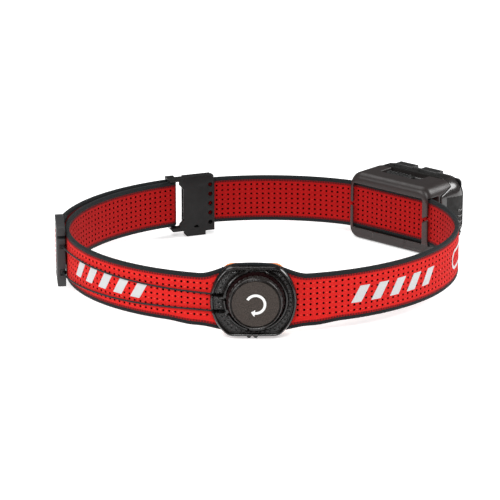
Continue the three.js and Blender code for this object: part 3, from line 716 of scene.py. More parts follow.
def mesh_pad_look():
    """Orange spacer mesh: small dimples in rows with darker pits."""
    look = Look("orange_mesh", (0.93, 0.27, 0.02), 0.85, Sheen_Weight=0.4)
    dimple = look.range(look.cells(1.1), 0.15, 0.55)
    look.paint(look.blend(dimple, (0.36, 0.06, 0.003), (0.85, 0.22, 0.018)))
    look.bump(dimple, 0.25)
    look.bump(look.noise(0.2), 0.03)
    return look.material


DIAL_BLACK = (0.005, 0.004, 0.0037)

looks = {
    "red": webbing_look("webbing_red", (0.61, 0.0145, 0.012), (0.31, 0.004, 0.005), (0.95, 0.2, 0.12)),
    # The inner face's darker red is painted shade, for the front light that the layer in front keeps off it.
    "inner_red_painted_shade": webbing_look(
        "webbing_inner_red_painted_shade", (0.34, 0.004, 0.004), (0.18, 0.002, 0.002), (0.7, 0.06, 0.04),
    ),
    "binding": binding_look(),
    "hole": hole_look(),
    "film": reflective_look(),
    "cord": cord_look(),
    "black_nylon": grained_plastic("black_nylon", (0.007, 0.007, 0.007), 0.5, Specular_IOR_Level=0.22),
    "grey_nylon": grained_plastic("grey_nylon", (0.028, 0.028, 0.029), 0.5, Specular_IOR_Level=0.35),
    "leather": leather_look("leather_black", DIAL_BLACK, 0.28, 0.85, 0.1, Specular_IOR_Level=0.5),
    "bead": grained_plastic("bead_black", DIAL_BLACK, 0.24, 1.2, 0.006, Specular_IOR_Level=0.5),
    "knob": grained_plastic("knob_black", (0.014, 0.011, 0.01), 0.3, 0.5, 0.006, Specular_IOR_Level=0.5),
    "disc": disc_look(),
    "mark": grained_plastic("mark_silver", (0.74, 0.74, 0.73), 0.4),
    # Red acetal darkened nearly to black: the red is the parts' own, the darkness is painted shade of the
    # deep gap round the knob.
    "gap_shade_red": grained_plastic("gap_shade_red_acetal", (0.009, 0.0005, 0.0008), 0.4, Specular_IOR_Level=0.15),
    "stitch": grained_plastic("stitch_black", (0.003, 0.003, 0.003), 0.7, 0.3, 0.05, Specular_IOR_Level=0.2),
    "bracket": smoky_look("smoky_bracket", (0.026, 0.0212, 0.0204), 0.36, 0.3),
    "hook": smoky_look("smoky_hook", (0.034, 0.0155, 0.0145), 0.3, 0.4),
    "shell": smoky_look("smoky_shell", (0.02, 0.0175, 0.017), 0.2, 0.6),
    "shell_matt": grained_plastic("shell_matt", (0.007, 0.0065, 0.006), 0.6, Specular_IOR_Level=0.2),
    "bezel": grained_plastic("bezel_black", (0.008, 0.008, 0.008), 0.42, Specular_IOR_Level=0.3),
    "rubber": grained_plastic("button_rubber", (0.01, 0.01, 0.01), 0.45, 0.5, 0.02),
    "steel": metal_look("turned_steel", (0.62, 0.62, 0.63), 0.28, (1, 1, 8)),
    "aluminium": metal_look("aluminium_fins", (0.5, 0.51, 0.53), 0.4, (8, 1, 1)),
    "mirror": metal_look("reflector_mirror", (0.9, 0.9, 0.9), 0.07),
    "lens": glass_look(),
    "board": board_look(),
    "cell": cell_look(),
    "emitter": emitter_look(),
    "pad": mesh_pad_look(),
}

# ---------------------------------------------------------------------------
# Webbing
# ---------------------------------------------------------------------------


class Line:
    """A line seen from above, measured along its length, with a side that counts as its front."""

    def __init__(self, points, front):
        flat = np.array([(p.x, p.y) for p in points])
        steps = np.diff(flat, axis=0)
        self.points = flat
        self.lengths = np.concatenate([[0], np.cumsum(np.hypot(steps[:, 0], steps[:, 1]))])
        tangents = np.gradient(flat, self.lengths, axis=0)
        tangents /= np.hypot(tangents[:, 0], tangents[:, 1])[:, None]
        self.normals = np.stack([-tangents[:, 1], tangents[:, 0]], axis=1) * front
        self.length = float(self.lengths[-1])

    def at(self, length, depth):
        """The point this far along, moved this far towards the front."""
        place, side = (
            [float(np.interp(length, self.lengths, table[:, i])) for i in (0, 1)]
            for table in (self.points, self.normals)
        )
        return place[0] + side[0] * depth, place[1] + side[1] * depth


FACE_LINES = [-RED_HALF, -FIELD_HALF]
for row_height in ROW_HEIGHTS:
    FACE_LINES += [row_height - CELL, row_height + CELL]
FACE_LINES += [FIELD_HALF, RED_HALF]

# The outline of the webbing cut across: [height, share of half its thickness].
ROLLED_EDGE = BINDING + [(v, -d) for v, d in reversed(BINDING[:-1])]
SECTION = [(v, 1) for v in FACE_LINES] + ROLLED_EDGE
SECTION += [(v, -1) for v in reversed(FACE_LINES)] + [(-v, -d) for v, d in ROLLED_EDGE]


# The inner face's red is the same webbing painted darker as shade.
OUTER_RED, HOLE, EDGE, SHADE_PAINTED_RED = range(4)     # the webbing's materials, in their order


def plain_height(_x, _y, height):
    return height


def full_thickness(_):
    return 1.0


def lines_across(whole):
    """Where a webbing's mesh is divided along its length, and each column of holes by its cells' start."""
    centres = np.arange(COLUMN_PITCH, whole - 2, COLUMN_PITCH)
    lines = [0.0, whole]
    for centre in centres:
        lines += [centre - CELL, centre + CELL, min(centre + COLUMN_PITCH / 2, whole - 0.4)]
    lines = sorted(set(round(x, 4) for x in lines))
    return lines, {round(centre - CELL, 4): centre for centre in centres}


def webbing(name, line, body, height_at=plain_height, thin=full_thickness, turned_at=math.inf):
    """Perforated webbing along a line, with a rolled binding on each edge. Its back takes the red painted
    darker as shade, up to turned_at along the line, where it has been folded over."""
    lines, columns = lines_across(line.length)
    points, uvs, faces, kinds = [], [], [], []

    def add_point(length, height, depth):
        x, y = line.at(length, depth * HALF_THICKNESS * thin(length))
        points.append((x, y, BAND_Z + height_at(x, y, height)))
        uvs.append((length, height))
        return len(points) - 1

    grid = [[add_point(length, v, d) for v, d in SECTION] for length in lines]

    def red_face(length, depth):
        # The back face, up to the fold, takes the red painted darker as shade.
        return OUTER_RED if (depth > 0) == (length < turned_at) else SHADE_PAINTED_RED

    def perforation(corners, length, height, face):
        """A round pit in one square of webbing. Corners run anticlockwise from length+, height+."""
        red = red_face(length, face)
        length += chance.uniform(-0.04, 0.04)
        height += chance.uniform(-0.03, 0.03)
        radius = HOLE_RADIUS * chance.uniform(0.95, 1.06)
        rim, floor = [], []
        for k in range(8):
            angle = math.radians(22.5 + 45 * k)
            spot = (length + radius * math.cos(angle), height + radius * math.sin(angle))
            rim.append(add_point(*spot, face))
            floor.append(add_point(*spot, face * (1 - HOLE_DEPTH)))
        for m in range(4):
            a, b, c = rim[2 * m], rim[2 * m + 1], rim[(2 * m + 2) % 8]
            faces.append((corners[m], a, b))
            faces.append((corners[m], b, c, corners[(m + 1) % 4]))
            kinds.extend((red, red))
        for k in range(8):
            n = (k + 1) % 8
            faces.append((rim[k], rim[n], floor[n], floor[k]))
            kinds.append(HOLE)
        faces.append(tuple(floor))
        kinds.append(HOLE)

    rows = {round(height - CELL, 4): height for height in ROW_HEIGHTS}
    count = len(SECTION)
    for i in range(len(lines) - 1):
        centre = columns.get(lines[i])
        for j in range(count):
            k = (j + 1) % count
            (v0, d0), (v1, d1) = SECTION[j], SECTION[k]
            here, there = grid[i], grid[i + 1]
            row = rows.get(round(min(v0, v1), 4))
            flat = abs(d0) == 1 and d0 == d1 and max(abs(v0), abs(v1)) <= RED_HALF
            if flat and centre is not None and row is not None:
                low, high = (j, k) if v0 < v1 else (k, j)
                corners = (there[high], here[high], here[low], there[low])
                perforation(corners, centre, row, d0)
                continue
            faces.append((here[j], here[k], there[k], there[j]))
            kinds.append(red_face(lines[i], d0) if flat else EDGE)
    for i in (0, -1):
        faces.append(tuple(grid[i]))
        kinds.append(OUTER_RED)
    materials = [looks["red"], looks["hole"], looks["binding"], looks["inner_red_painted_shade"]]
    return new_piece(name, points, faces, materials, body, 40, uvs, kinds)


FLARE_START = 26            # from the dial's base centre, where the webbing begins to widen
FLARE_RISE = 18
FLARE_UP, FLARE_DOWN = 5.1, -4.2        # how far its two edges move there
FLARE_LIFT = 0.8            # how far all of it moves up there
FLARE_SAG = 1.1             # how far its lower edge dips on the way there


def flared(x, y, height):
    """The webbing widens beside the dial to the height of its base."""
    if y > LOOP_Y:
        return height
    aside = x - dial_axis.x - DIAL_BASE_X
    grown = smoothstep(FLARE_START - abs(aside), 0, FLARE_RISE)
    outer = smoothstep(abs(height), 8.7, FIELD_HALF)
    crown = max(-0.8, 0.4 - 0.0065 * aside * aside)
    widen = FLARE_UP + crown if height > 0 else FLARE_DOWN
    sag = 0 if height > 0 else FLARE_SAG * smoothstep(42 - abs(aside), 0, 13) * (1 - grown)
    return height + grown * (FLARE_LIFT + outer * widen) - sag * outer


LINE_STEP = 0.8


def band_line(start, end, offset):
    count = max(2, int(abs(end - start) / LINE_STEP))
    return [band_point(mix(start, end, i / count), offset) for i in range(count + 1)]


def arc(centre, radius, start, end):
    steps = 24
    return [
        centre + Vector((math.cos(a), math.sin(a))) * radius
        for a in (mix(start, end, i / steps) for i in range(steps + 1))
    ]


# ---------------------------------------------------------------------------
# Headband
# ---------------------------------------------------------------------------

DIAL_GAP = math.radians(2.4)            # half the space between the two webbing ends
BUCKLE_BAR_ALONG = -11.1                # the buckle's bar, from the buckle's middle
LACE_BAR = (11.4, 4.5)                  # the lace bracket's bar, along the band and outside it
STRAP_END_RADIUS = 1.62                 # the webbing's middle as it rounds that bar

dial_length = length_at(DIAL_ANGLE)
buckle_length = length_at(BUCKLE_ANGLE)
whole_loop = length_at(math.radians(100)) - length_at(math.radians(-260))
fold_length = buckle_length - BUCKLE_BAR_ALONG - whole_loop


def main_strap():
    start = length_at(DIAL_ANGLE + DIAL_GAP)
    plain_end = buckle_length - 12
    route = band_line(start, plain_end, 0)
    # The end is threaded out through the slider's first slot and back in through its second.
    stops = [
        (-12, 0), (-10.6, 0.2), (-8.6, 1.2), (-7.2, 3.0), (-5.2, 4.35), (-3.2, 4.45), (-1.4, 3.7),
        (-0.2, 2.2), (0.8, 0.4), (2.4, -0.35),
    ]
    for along, offset in spline(stops, 6)[1:]:
        route.append(band_point(buckle_length + along, offset))
    strap = webbing("headband_webbing", Line(route, -1), "root", flared)
    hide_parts("headband_main")


def tension_strap():
    start = length_at(DIAL_ANGLE - DIAL_GAP)
    route = band_line(start, fold_length, 0)
    centre = band_point(fold_length, LAYER_SPACING / 2)
    out = band_point(fold_length, 1) - band_point(fold_length, 0)
    inner = math.atan2(-out.y, -out.x)
    route += arc(centre, LAYER_SPACING / 2, inner, inner + math.pi)[1:]
    route += band_line(fold_length, fold_length + 6, LAYER_SPACING)[1:]
    line = Line(route, 1)
    strap = webbing("tension_webbing", line, "root", flared, turned_at=line.length - 9.8)
    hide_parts("tension_strap")


def return_strap():
    """The outer layer, from the fold to the lace bracket's bar, round it and sewn to itself."""
    bar_along, bar_out = LACE_BAR
    bar_length = -bar_along
    straight_end = bar_length - 5
    route = band_line(fold_length + 6, straight_end, LAYER_SPACING)
    drift = 6
    for i in range(1, drift + 1):
        offset = mix(LAYER_SPACING, bar_out + STRAP_END_RADIUS, smoothstep(i / drift, 0, 1))
        route.append(band_point(mix(straight_end, bar_length, i / drift), offset))
    centre = band_point(bar_length, bar_out)
    out = band_point(bar_length, 1) - band_point(bar_length, 0)
    outer = math.atan2(out.y, out.x)
    route += arc(centre, STRAP_END_RADIUS, outer, outer + math.pi)[1:]
    for i in range(1, 9):
        offset = mix(bar_out - STRAP_END_RADIUS, 3.1, smoothstep(i / 8, 0, 0.8))
        route.append(band_point(bar_length - i * 1.4, offset))
    line = Line(route, 1)
    thin_from = line.length - 32

    def thin(length):
        return mix(1.0, 0.58, smoothstep(length, thin_from, thin_from + 10))

    strap = webbing("return_webbing", line, None, thin=thin, turned_at=0)
    [c * MM for c in on_band(fold_length + 8, 0, LAYER_SPACING)]
    [c * MM for c in on_band(bar_length - 12, 0, LAYER_SPACING)]
    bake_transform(strap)
    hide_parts("strap_end_loop")


BRIDGE_HALF = 4.6           # half the length of binding over the gap behind the dial


def binding_bridge():
    """The binding runs on over the gap between the webbing's two ends, above the dial's base."""
    outline = [(RED_HALF, 1), *ROLLED_EDGE, (RED_HALF, -1)]
    rings, uvs = [], []
    for i in range(13):
        length = dial_length + mix(-BRIDGE_HALF, BRIDGE_HALF, i / 12)
        ring = []
        for v, d in outline:
            point = band_point(length, d * HALF_THICKNESS * 0.99)
            ring.append((point.x, point.y, BAND_Z + flared(point.x, point.y, v)))
            uvs.append((length, v))
        rings.append(ring)
    points, faces = skin(rings)
    bridge = new_piece("binding_bridge", points, faces, [looks["binding"]], "root", 60, uvs)


def bar_tack():
    """Rows of black stitches that sew the return layer to itself beside the lace bracket."""
    stitches = []
    for row in range(3):
        for i in range(13):
            stitches.append((-16.5 - row * 1.3, -9.6 + i * 1.6))
    points, faces = [], []
    half = 0.55
    for length, height in stitches:
        ends = (length, height - half), (length, height + half)
        add_capsule(points, faces, on_band, *ends, LAYER_SPACING + 0.62, 0.2)
    piece = new_piece("return_stitches", points, faces, [looks["stitch"]], "lace_bracket")


# A capsule's outline: [share of its length, share of its radius].
CAPSULE = ((0, 0.55), (0.12, 0.95), (0.5, 1.0), (0.88, 0.95), (1, 0.55))


def add_capsule(points, faces, place, start, end, level, radius, sides=8):
    """A small rounded rod between two spots of a place, half sunk at the level."""
    a, b = Vector(start), Vector(end)
    along = (b - a).normalized()
    across = Vector((-along.y, along.x))
    rings = []
    for share, size in CAPSULE:
        spot = mix(a, b, share)
        ring = []
        for k in range(sides):
            angle = FULL_TURN * k / sides
            side = spot + across * (math.cos(angle) * radius * size)
            ring.append(place(side.x, side.y, level + math.sin(angle) * radius * size))
        rings.append(ring)
    ring_points, ring_faces = skin(rings)
    first = len(points)
    points.extend(ring_points)
    faces.extend(tuple(first + c for c in face) for face in ring_faces)


DASH = {"height": 8.1, "width": 5.4, "lean": 4.8, "pitch": 10.8, "count": 5}
LEFT_DASHES = (24.6, 0.2)   # where the first dash starts along the band, and their middle height
RIGHT_DASHES = (177.8, -0.2)


FILM_LEVELS = (0.9, 1.09)   # the reflective film's back and face, outside the webbing's middle


def dashes(name, start, middle):
    """Slanted reflective patches pressed onto the outer face."""
    for index in range(DASH["count"]):
        grid = []
        for i in range(7):
            share = i / 6
            grid.append([
                (start + index * DASH["pitch"] + DASH["lean"] * up + DASH["width"] * share,
                 middle + DASH["height"] * (up - 0.5))
                for up in (0, 0.25, 0.5, 0.75, 1)
            ])
        patch = slab(f"{name}_{index + 1}", grid, on_band, *FILM_LEVELS, looks["film"], "root")


def pill_outline(start, end, low, high):
    """A closed outline with round ends, as pairs along and across."""
    radius = (high - low) / 2
    middle = (high + low) / 2
    steps = 12
    spots = []
    for near, far, level, turn in ((start, end, low, -math.pi / 2), (end, start, high, math.pi / 2)):
        inward = radius if far > near else -radius
        for i in range(9):
            spots.append((mix(near + inward, far - inward, i / 8), level))
        for i in range(1, steps):
            angle = turn + math.pi * i / steps
            spots.append((far - inward + radius * math.cos(angle), middle + radius * math.sin(angle)))
    return spots


MARK = (252.5, 292, -5.6, 4.6)          # start, end, bottom and top of the side mark
MARK_WIDTH = 1.4            # of its line


def side_mark():
    """A plain reflective pill outline on the right side."""
    start, end, low, high = MARK
    outer = pill_outline(start, end, low, high)
    inner = pill_outline(start + MARK_WIDTH, end - MARK_WIDTH, low + MARK_WIDTH, high - MARK_WIDTH)
    grid = [[a, b] for a, b in zip(outer, inner)]
    mark = slab("side_mark", grid, on_band, *FILM_LEVELS, looks["film"], "root", closed=True)


# The lace's stops repeat the CAD route: [angle in degrees, distance outside the webbing, height].
LACE_ROUTE = [
    (-99.6, 3.65, 3.5), (-102.4, 3.9, 3.4), (-106, 3.5, 3.35), (-110, 2.4, 3.4), (-114, 1.9, 3.5),
    (-122, 1.85, 3.8), (-132, 1.85, 4.3), (-142, 1.85, 4.8), (-152, 1.85, 5.2), (-160, 1.95, 5.5),
    (-167, 2.4, 5.7), (-171.5, 2.9, 5.8), (-175.4, 3.1, 5.3), (-176.5, 3.1, 2.6), (-176.6, 3.1, -1.3),
    (-176.5, 3.1, -5.2), (-175.4, 3.1, -7.9), (-171.5, 2.9, -8.35), (-167, 2.4, -8.2), (-160, 1.95, -7.8),
    (-152, 1.85, -7.2), (-142, 1.85, -6.6), (-132, 1.85, -6), (-122, 1.85, -5.4), (-114, 1.9, -5.1),
    (-110, 2.4, -5), (-106, 3.5, -4.5), (-102.4, 3.9, -3.4), (-99.6, 3.65, -2.2),
]
LACE_RADIUS = 0.42


def tension_lace():
    stops = []
    for degrees, offset, height in LACE_ROUTE:
        point = loop_point(math.radians(degrees), offset)
        stops.append((point.x, point.y, BAND_Z + height))
    lace = tube("tension_lace_fine", spline(stops, 8), LACE_RADIUS, looks["cord"], None)
    [c * MM for c in on_band(dial_length - 24, 0, 2)]
    [c * MM for c in on_band(9.5, 0, 2)]
    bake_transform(lace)
    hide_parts("tension_lace")


def headband():
    main_strap()
    tension_strap()
    binding_bridge()
    return_strap()
    bar_tack()
    dashes("left_dash", *LEFT_DASHES)
    dashes("right_dash", *RIGHT_DASHES)
    side_mark()
    tension_lace()


# ---------------------------------------------------------------------------
# Lace bracket and buckle
# ---------------------------------------------------------------------------


def lace_bracket():
    refined("lace_bracket", "lace_bracket", "grey_nylon", 0.45, 3)
    refined("lace_bracket_bar", "lace_bracket", "steel", 0.2, 2)


def buckle():
    refined("buckle_frame", "root", "black_nylon", 0.22, 3)
    refined("buckle_bar", "root", "steel", 0.2, 2)
    refined("strap_slider", "root", "black_nylon", 0.3, 3)


# ---------------------------------------------------------------------------
# Dial
# ---------------------------------------------------------------------------

BASE_HALF_WIDTH = 20.7
BASE_HALF_HEIGHT = 17.1
BASE_DROP = 0.5             # how much lower the base's flat underside is than that
BASE_TOP = 5
BASE_BACK = 1.25            # in front of the webbing's middle
BASE_BORE = 9.2
SIDE_ARC_SHIFT = 1.0        # from the base's centre to the centres of its two side arcs
CORNER_SPREAD = 0.09        # angle over which its corners are softened
LIP_RADIUS = 15
GRAIN_EDGES = (1.9, LIP_RADIUS + 0.5)   # the grained face's inset from the outline, and its inner radius
GRAIN_LAYERS = (10, 15)     # the base's layers between which its leather is grained
LACE_WAYS = (174, 204)      # directions in which the lace crosses the base's lip, in degrees
LACE_HEIGHTS = (2.4, -5.6)  # of the two laces above the dial's axis, beside it
GROOVE_FLOOR = 1.9
PAD_INSET = 1.0
PAD_BACK = -7.4
PAD_THICKNESS = 3.9
ROUND_SEGMENTS = 160        # of the knob and the pad


def base_radius(angle, inset):
    """How far the base's outline is from the dial's axis in a direction, on two arcs and two flats."""
    direction = Vector((math.cos(angle), math.sin(angle)))
    radius = BASE_HALF_WIDTH + SIDE_ARC_SHIFT - inset
    reach = math.inf
    for sign in (-1, 1):
        centre = Vector((DIAL_BASE_X - sign * SIDE_ARC_SHIFT, DIAL_BASE_Y))
        along = direction.dot(centre)
        away = centre.length_squared - radius * radius
        reach = min(reach, along + math.sqrt(max(0, along * along - away)))
    for sign in (-1, 1):
        flat = DIAL_BASE_Y + sign * (BASE_HALF_HEIGHT - inset) - (BASE_DROP if sign < 0 else 0)
        if direction.y * sign > 0.05:
            reach = min(reach, flat / direction.y)
    return reach


def rounded_base_radius(angle, inset):
    """The outline with its four corners softened by averaging over nearby directions."""
    shares = (-1, -0.6, -0.3, 0, 0.3, 0.6, 1)
    return sum(base_radius(angle + share * CORNER_SPREAD, inset) for share in shares) / len(shares)


def grained_radius(angle, share):
    """From the outer edge of the base's grained face, at share 0, to its inner edge at share 1."""
    inset, inner = GRAIN_EDGES
    return mix(rounded_base_radius(angle, inset), inner, share)


def strap_front(x, offset):
    """How far in front of the dial's webbing plane the curved webbing's face lies, at a place to the side."""
    guess = dial_length
    for _ in range(6):
        guess += (dial_axis.x + x) - band_point(guess, offset).x
    return DIAL_FACE_Y - band_point(guess, offset).y


def grooved(angle, radius, height):
    """The height, brought down to the floor of the two open grooves that the lace lies in."""
    shown = 0
    if math.cos(angle) < 0:
        for middle in LACE_HEIGHTS:
            away = abs(radius * math.sin(angle) - middle)
            shown = max(shown, smoothstep(0.85 - away, 0, 0.3))
    return mix(height, min(height, GROOVE_FLOOR), shown)


# Makers of the dial base's layers, besides circle.


def lip(radius, rise):
    """The raised lip round the knob, open above and below it and where the lace crosses it."""
    def layer(angle):
        shown = max(smoothstep(-math.cos(angle), 0.18, 0.3), smoothstep(math.cos(angle), 0.25, 0.4))
        for way in LACE_WAYS:
            shown *= 1 - smoothstep(abs(math.degrees(angle) - way), 5.5, 3.5)
        return radius, BASE_TOP - 0.35 + (rise + 0.35) * shown
    return layer


def grained(share, height):
    def layer(angle):
        radius = grained_radius(angle, share)
        return radius, grooved(angle, radius, height)
    return layer


def outline(inset, height):
    def layer(angle):
        radius = rounded_base_radius(angle, inset)
        return radius, grooved(angle, radius, height)
    return layer


def back_outline(inset, height):
    def layer(angle):
        radius = rounded_base_radius(angle, inset)
        return radius, strap_front(radius * math.cos(angle), BASE_BACK) + height
    return layer


def back_bore(angle):
    return BASE_BORE, strap_front(BASE_BORE * math.cos(angle), BASE_BACK)


def dial_base():
    """The base's bore, seat, smooth lip, grained leather, smooth bead, side and back, in that order."""
    layers = [
        circle(BASE_BORE, 2.2), circle(BASE_BORE, 4.5), circle(12.6, 4.4), circle(13.9, 4.4),
        lip(14.15, 0.3), lip(14.25, 1.1), lip(14.5, 1.55), lip(14.85, 1.6), lip(15.15, 1.35), lip(15.3, 0.5),
        grained(0.93, 4.6), grained(0.8, 4.85), grained(0.6, 5.0), grained(0.36, 4.85), grained(0.16, 4.6),
        outline(2.1, 4.35), outline(1.85, 4.45), outline(1.65, 4.9), outline(1.35, 5.25), outline(1.0, 5.32),
        outline(0.68, 5.1), outline(0.5, 4.7), outline(0.3, 4.3), outline(0.05, 3.7), outline(0, 2.6),
        back_outline(0.25, 0.5), back_outline(0.8, 0), back_bore,
    ]
    segments = 240
    points, faces = skin([dial_ring(layer, segments) for layer in layers], closed_path=True)
    first, end = GRAIN_LAYERS
    kinds = [int(first <= i // segments < end) for i in range(len(faces))]
    materials = [looks["bead"], looks["leather"]]
    base = new_piece("dial_base_fine", points, faces, materials, "root", face_materials=kinds)
    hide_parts("dial_base")
    plate = [(0, 1.6), (9.1, 1.6), (9.1, 2.15), (0, 2.15)]
    floor = turned("dial_base_floor", plate, looks["leather"], "root")


def base_stitches():
    """A row of stitches sunk between the base's bead and its lip."""
    points, faces = [], []
    count = 46
    half = 0.023
    for i in range(count):
        middle = FULL_TURN * (i + 0.5) / count
        ends = []
        for angle in (middle - half, middle + half):
            radius = grained_radius(angle, 0.5)
            ends.append((radius * math.cos(angle), radius * math.sin(angle)))
        add_capsule(points, faces, on_dial, *ends, 4.98, 0.34)
    row = new_piece("base_stitches", points, faces, [looks["stitch"]], "root")


FEET = (-3.15, 0.0)         # to the right of the dial's axis
FOOT_HALF_WIDTH, FOOT_HALF_DEPTH = 1.25, 0.8
FOOT_LEVEL = 2.55           # in front of the webbing's middle


def dial_feet():
    """Two small tapered feet that reach the resting surface."""
    segments = 24
    for index, x in enumerate(FEET):
        rings = []
        for size, rise in ((1, 3), (1, 1.1), (0.75, 0.4), (0.4, 0)):
            ring = []
            for k in range(segments):
                angle = FULL_TURN * k / segments
                across = x + FOOT_HALF_WIDTH * size * math.cos(angle)
                level = FOOT_LEVEL + FOOT_HALF_DEPTH * size * math.sin(angle)
                ring.append(on_dial(across, rise - dial_axis.z, level))
            rings.append(ring)
        points, faces = skin(rings)
        foot = new_piece(f"base_foot_{index + 1}", points, faces, [looks["leather"]], "root")


def gear(name, count, root, tip, low, high, inner, material, body, tooth):
    """A ring of rounded teeth: inner is its bore, root and tip the teeth's radii, and tooth half the share
    of a pitch that a tooth takes up."""
    per_tooth = 12
    outer = []
    for i in range(count * per_tooth):
        phase = (i % per_tooth) / per_tooth
        rise = smoothstep(0.5 - abs(phase - 0.5), 0.5 - tooth, 0.5 - tooth * 0.45)
        outer.append(mix(root, tip, rise))
    segments = len(outer)
    chamfer = 0.18
    rings = []
    for radius_of, height in (
        (lambda r: inner, low), (lambda r: r - chamfer, low), (lambda r: r, low + chamfer),
        (lambda r: r, high - chamfer), (lambda r: r - chamfer, high), (lambda r: inner, high),
    ):
        ring = []
        for i, radius in enumerate(outer):
            angle = FULL_TURN * i / segments
            size = radius_of(radius)
            ring.append(on_dial(size * math.cos(angle), size * math.sin(angle), height))
        rings.append(ring)
    points, faces = skin(rings, closed_path=True)
    return new_piece(name, points, faces, [material], body)


def knob():
    ring = turned("knob_ring_fine", [
        (11.35, 10.5), (9.6, 10.45), (9.6, 9.1), (3.1, 9.1), (3.1, 7.9), (11.7, 7.9), (11.8, 7.1),
        (12.0, 6.95), (12.3, 7.2), (12.45, 8.0), (12.6, 9.4), (12.65, 10.2), (12.58, 10.7), (12.4, 11.05),
        (12.18, 11.18), (12.02, 11.1), (11.94, 10.85), (11.88, 10.55), (11.8, 10.8), (11.7, 11.0),
        (11.58, 11.06), (11.45, 10.9),
    ], looks["knob"], "dial_knob", ROUND_SEGMENTS)
    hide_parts("knob_ring")
    teeth = gear("knob_teeth", 30, 12.05, 12.9, 6.95, 8.7, 11.8, looks["knob"], "dial_knob", 0.62)
    disc = turned("knob_disc_fine", [
        (0, 10.6), (11.2, 10.6), (11.22, 11.2), (11.12, 11.5), (10.9, 11.66), (10.5, 11.7), (0, 11.74),
    ], looks["disc"], "dial_knob", ROUND_SEGMENTS)
    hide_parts("knob_disc")
    turn_mark()


TURN_MARK_RADIUS = 4.4
TURN_MARK_LEVELS = (11.6, 11.79)        # the ink's back and face


def across_mark(angle, half):
    """Three points across the turn mark's line, as a row of its grid."""
    radii = (TURN_MARK_RADIUS - half, TURN_MARK_RADIUS, TURN_MARK_RADIUS + half)
    return [(radius * math.cos(angle), radius * math.sin(angle)) for radius in radii]


def turn_mark():
    """A generic turn arrow in pale ink: two thirds of a ring with an arrow head."""
    start, end = math.radians(150), math.radians(-95)
    tip = end - 0.42
    arms = [across_mark(mix(start, end, i / 40), 0.62) for i in range(41)]
    head = [across_mark(mix(end, tip, share), mix(1.75, 0.02, share)) for share in (0, 0.5, 0.98)]
    for name, grid in (("turn_mark", arms), ("turn_mark_head", head)):
        mark = slab(name, grid, on_dial, *TURN_MARK_LEVELS, looks["mark"], "dial_knob")


def ratchet():
    """The fixed red teeth in the gap round the knob, coloured nearly black as painted shade of the gap."""
    track = gear("gap_teeth", 36, 13.3, 13.95, 4.7, 5.7, 12.7, looks["gap_shade_red"], "root", 0.6)


def pad_layer(inset, share):
    level = PAD_BACK + PAD_THICKNESS * share
    return lambda angle: (rounded_base_radius(angle, PAD_INSET + inset), level)


def head_pad():
    """A thin foam pad with soft edges, quilted by a shallow seam near its rim."""
    profile = [
        (9, 0.07), (5, 0.04), (3.6, 0.1), (2.9, 0.12), (2.0, 0.03), (1.0, 0.1), (0.35, 0.26), (0.1, 0.45),
        (0.1, 0.62), (0.35, 0.82), (1.0, 0.97), (4.0, 1.0), (9.0, 1.0),
    ]
    points, faces = skin([dial_ring(pad_layer(inset, share), ROUND_SEGMENTS) for inset, share in profile])
    pad = new_piece("head_pad_foam", points, faces, [looks["pad"]], "root", 60)
    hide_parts("head_pad")


def dial():
    dial_base()
    base_stitches()
    dial_feet()
    knob()
    ratchet()
    head_pad()
    refined("dial_back_plate", "root", "leather", 0.4, 3)


# ---------------------------------------------------------------------------
# Lamp
# ---------------------------------------------------------------------------

HEAD_HALF = 27.2            # half the lamp head's width
HEAD_BOTTOM, HEAD_TOP = -16.5, 19.0
HEAD_CORNERS = (8.6, 10)    # the radii of its lower and upper corners
FRONT_CORNER = 8.4          # the radius of the upper corners at the front
ROUND_START, ROUND_DEPTH = 15.6, 12.0   # where the rounding of the head's front begins, and its reach
SIDE_ROUND, TOP_ROUND, BOTTOM_ROUND = 6.6, 4.6, 3.6
SHADE_LINE = 9.5            # below this height the sides of the head are matt
SHADE_START = 7.5           # and only this far out from the loop
DECK_HALF = 21              # half the width of the matt field on top
DECK_LEVEL = 18.3
BRACKET_HALF = 26.6
BRACKET_BOTTOM, BRACKET_TOP = -18, 18.5
BRACKET_BACK, BRACKET_FRONT = -7.4, 16
BRACKET_CORNERS = (5.5, 6.5)
BACK_ROUND = 4              # the depth and the height of the bracket's rounded upper back edge
HOOK_BOTTOM, HOOK_TOP = -11.9, 12.4     # the height that the hooks' slender part spans
HOOK_FRONT = -5.8


def head_stations():
    """Outlines of the head from its back to its front, which comes in on all sides in a quarter ellipse."""
    lower, upper = HEAD_CORNERS
    stations = [(2, HEAD_HALF, HEAD_BOTTOM, HEAD_TOP, lower, upper)]
    for i in range(13):
        angle = math.radians(89 * i / 12)
        inward = 1 - math.cos(angle)
        stations.append((
            ROUND_START + ROUND_DEPTH * math.sin(angle), HEAD_HALF - SIDE_ROUND * inward,
            HEAD_BOTTOM + BOTTOM_ROUND * inward, HEAD_TOP - TOP_ROUND * inward,
            lower, mix(upper, FRONT_CORNER, i / 12),
        ))
    return stations


def bracket_stations():
    """Outlines of the bracket from its back, where its edges are rounded, to the end of its shelf."""
    stations = []
    for i in range(13):
        angle = math.radians(90 - 90 * i / 12)
        inward = 1 - math.cos(angle)
        stations.append((
            BRACKET_BACK + BACK_ROUND * (1 - math.sin(angle)), BRACKET_HALF - 1.3 * inward,
            BRACKET_BOTTOM + 1.8 * inward, BRACKET_TOP - BACK_ROUND * inward, *BRACKET_CORNERS,
        ))
    stations.append((BRACKET_FRONT, BRACKET_HALF, BRACKET_BOTTOM, BRACKET_TOP, *BRACKET_CORNERS))
    return stations


def side_place(sign):
    """A place on the head's left or right side: depth, height and how far out from its surface."""
    def on_side(depth, height, out):
        reach = max(0, min(1, (depth - ROUND_START) / ROUND_DEPTH))
        half = HEAD_HALF - SIDE_ROUND * (1 - math.sqrt(1 - reach * reach))
        return on_lamp(sign * (half + out), depth, height)
    return on_side


